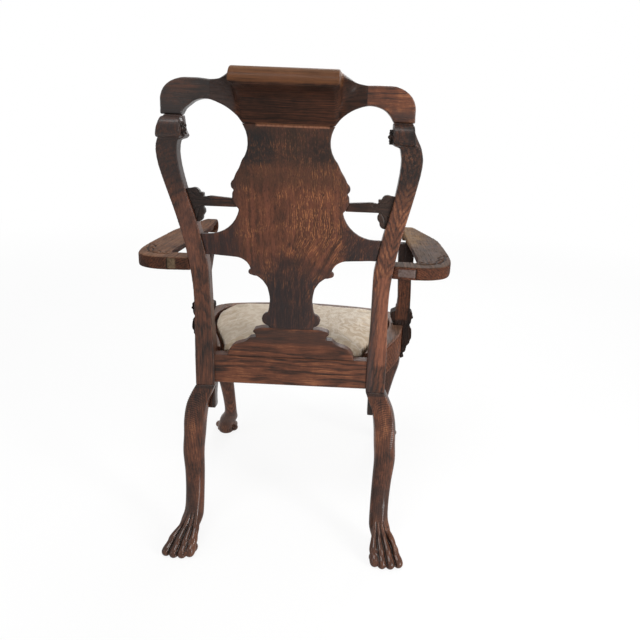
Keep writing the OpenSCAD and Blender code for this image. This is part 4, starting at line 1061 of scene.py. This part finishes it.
# ---------------- loose seat
def cushion():
    """Damask cover that the pressure of its stuffing rounds a little."""
    obj = copy_of("seat_cushion", "damask_seat")
    co = coords(obj.data)
    mid = Vector((co.max(0) + co.min(0)) / 2)
    obj.data.transform(Matrix.Translation(mid) @ Matrix.Diagonal((0.99, 0.99, 1, 1))
                       @ Matrix.Translation(-mid))
    remeshed(obj, 0.005)
    start = coords(obj.data)
    mod = obj.modifiers.new("cloth", "CLOTH")
    s = mod.settings
    s.use_pressure = True
    s.uniform_pressure_force = 4
    s.effector_weights.gravity = 0
    s.quality = 6
    pin = obj.vertex_groups.new(name="pin")
    low = start[:, 2].min() + 0.008
    pin.add([int(i) for i in np.where(start[:, 2] < low)[0]], 1.0, "REPLACE")
    s.vertex_group_mass = "pin"
    for f in range(1, 21):
        scene.frame_set(f)
    applied(obj)
    scene.frame_set(1)
    moved = coords(obj.data) - start
    far = np.linalg.norm(moved, axis=1, keepdims=True)
    set_coords(obj.data, start + moved * np.minimum(1, 0.005 / np.maximum(far, 1e-9)))
    sub = obj.modifiers.new("sub", "SUBSURF")
    sub.levels = sub.render_levels = 1
    applied(obj)
    co = smoothed(coords(obj.data), edges(obj.data), 2)
    set_coords(obj.data, co)
    store_wear_and_shade(obj.data, co, 8)
    finished(obj, m_cloth, "seat", ["seat_cushion"])


def dress(nodes, material):
    """Gives CAD nodes that show as they are a material."""
    for name in nodes:
        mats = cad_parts[name].data.materials
        if len(mats) == 0:
            mats.append(material)
        for i in range(len(mats)):
            mats[i] = material


cushion()
dress(["corner_blocks", "rear_ledger"], m_beech)
dress(["slip_rail_" + k for k in ("front", "back", "left", "right")], m_beech)
dress(["block_screws", "arm_screws", "cover_tacks"], m_iron)
dress(["seat_webbing"], m_web)
dress(["seat_hessian"], m_hessian)
dress(["seat_stuffing"], m_hair)


# ---------------- stage
FAR = 80
floor = new_object("floor", [(-FAR, -FAR, 0), (FAR, -FAR, 0), (FAR, FAR, 0), (-FAR, FAR, 0)],
                   [(0, 1, 2, 3)])
pale = Material("pale_floor")
grain = pale.noise(pale.pos, 3, 3)
pale.link(pale.mix(grain, (0.80, 0.80, 0.79), (0.84, 0.84, 0.835)), pale.bsdf.inputs["Base Color"])
pale.bsdf.inputs["Roughness"].default_value = 0.9
glow = pale.add("ShaderNodeEmission")
glow.inputs["Color"].default_value = (1, 1, 1, 1)
glow.inputs["Strength"].default_value = 1.0
# the floor fades into the white of the backdrop
fade = pale.step(pale.vec("LENGTH", pale.pos), 0.5, 5.0, 0.86, 1.0)
pale.blend(pale.times(pale.seen(), fade), pale.bsdf.outputs[0], glow.outputs[0],
           pale.out.inputs["Surface"])
floor.data.materials.append(pale.mat)

world = bpy.data.worlds.new("studio")
scene.world = world
world.use_nodes = True
sky = Tree(world.node_tree)
soft, white = (sky.add("ShaderNodeBackground") for _ in range(2))
for node, rgb, strength in ((soft, (0.97, 0.98, 1.0), 0.42), (white, (1, 1, 1), 1.0)):
    node.inputs["Color"].default_value = (*rgb, 1)
    node.inputs["Strength"].default_value = strength
sky.blend(sky.seen(), soft.outputs[0], white.outputs[0],
          sky.add("ShaderNodeOutputWorld").inputs["Surface"])


def lamp(name, where, aim, size, watts, tint=(1, 1, 1)):
    data = bpy.data.lights.new(name, "AREA")
    data.shape = "RECTANGLE"
    data.size, data.size_y = size
    data.energy = watts
    data.color = tint
    obj = linked(name, data)
    obj.location = where
    obj.rotation_euler = (Vector(aim) - Vector(where)).to_track_quat("-Z", "Y").to_euler()


lamp("key", (-2.1, 1.5, 1.12), (0, 0, 0.5), (0.5, 2.1), 46, (1, 0.985, 0.96))
lamp("low", (-1.05, 1.05, 0.26), (-0.1, 0.15, 0.12), (0.3, 0.5), 9)
lamp("top", (0.3, 1.2, 2.9), (0, 0, 0.6), (1.4, 0.9), 40)
lamp("fill", (2.6, 1.4, 1.4), (0, 0, 0.5), (1.2, 1.6), 14)
lamp("front", (-0.6, -2.4, 2.2), (0, 0, 0.5), (1.6, 1.6), 40)

# the camera, as it was fitted to the chair: its angles in radians, its picture in pixels
YAW, PITCH, ROLL = 0.01917, 0.26943, -0.03948
FOCAL, MIDDLE_X, MIDDLE_Y, PIXELS = 569.03, 342.87, 291.35, 640
fwd = Vector((math.sin(YAW) * math.cos(PITCH), -math.cos(YAW) * math.cos(PITCH), -math.sin(PITCH)))
level = fwd.cross(Vector((0, 0, 1))).normalized()
down = fwd.cross(level)
across = math.cos(ROLL) * level + math.sin(ROLL) * down
down = -math.sin(ROLL) * level + math.cos(ROLL) * down
place = Matrix((across, -down, -fwd)).transposed().to_4x4()
place.translation = Vector((-0.13123, 1.16007 + OY, 0.91311))
cam_data = bpy.data.cameras.new("camera")
scene.camera = linked("camera", cam_data)
scene.camera.matrix_world = place
cam_data.sensor_width = 36
cam_data.lens = FOCAL / PIXELS * 36
cam_data.shift_x = -(MIDDLE_X - PIXELS / 2) / PIXELS
cam_data.shift_y = (MIDDLE_Y - PIXELS / 2) / PIXELS
cam_data.clip_start, cam_data.clip_end = 0.05, 300

scene.view_settings.view_transform = "Standard"
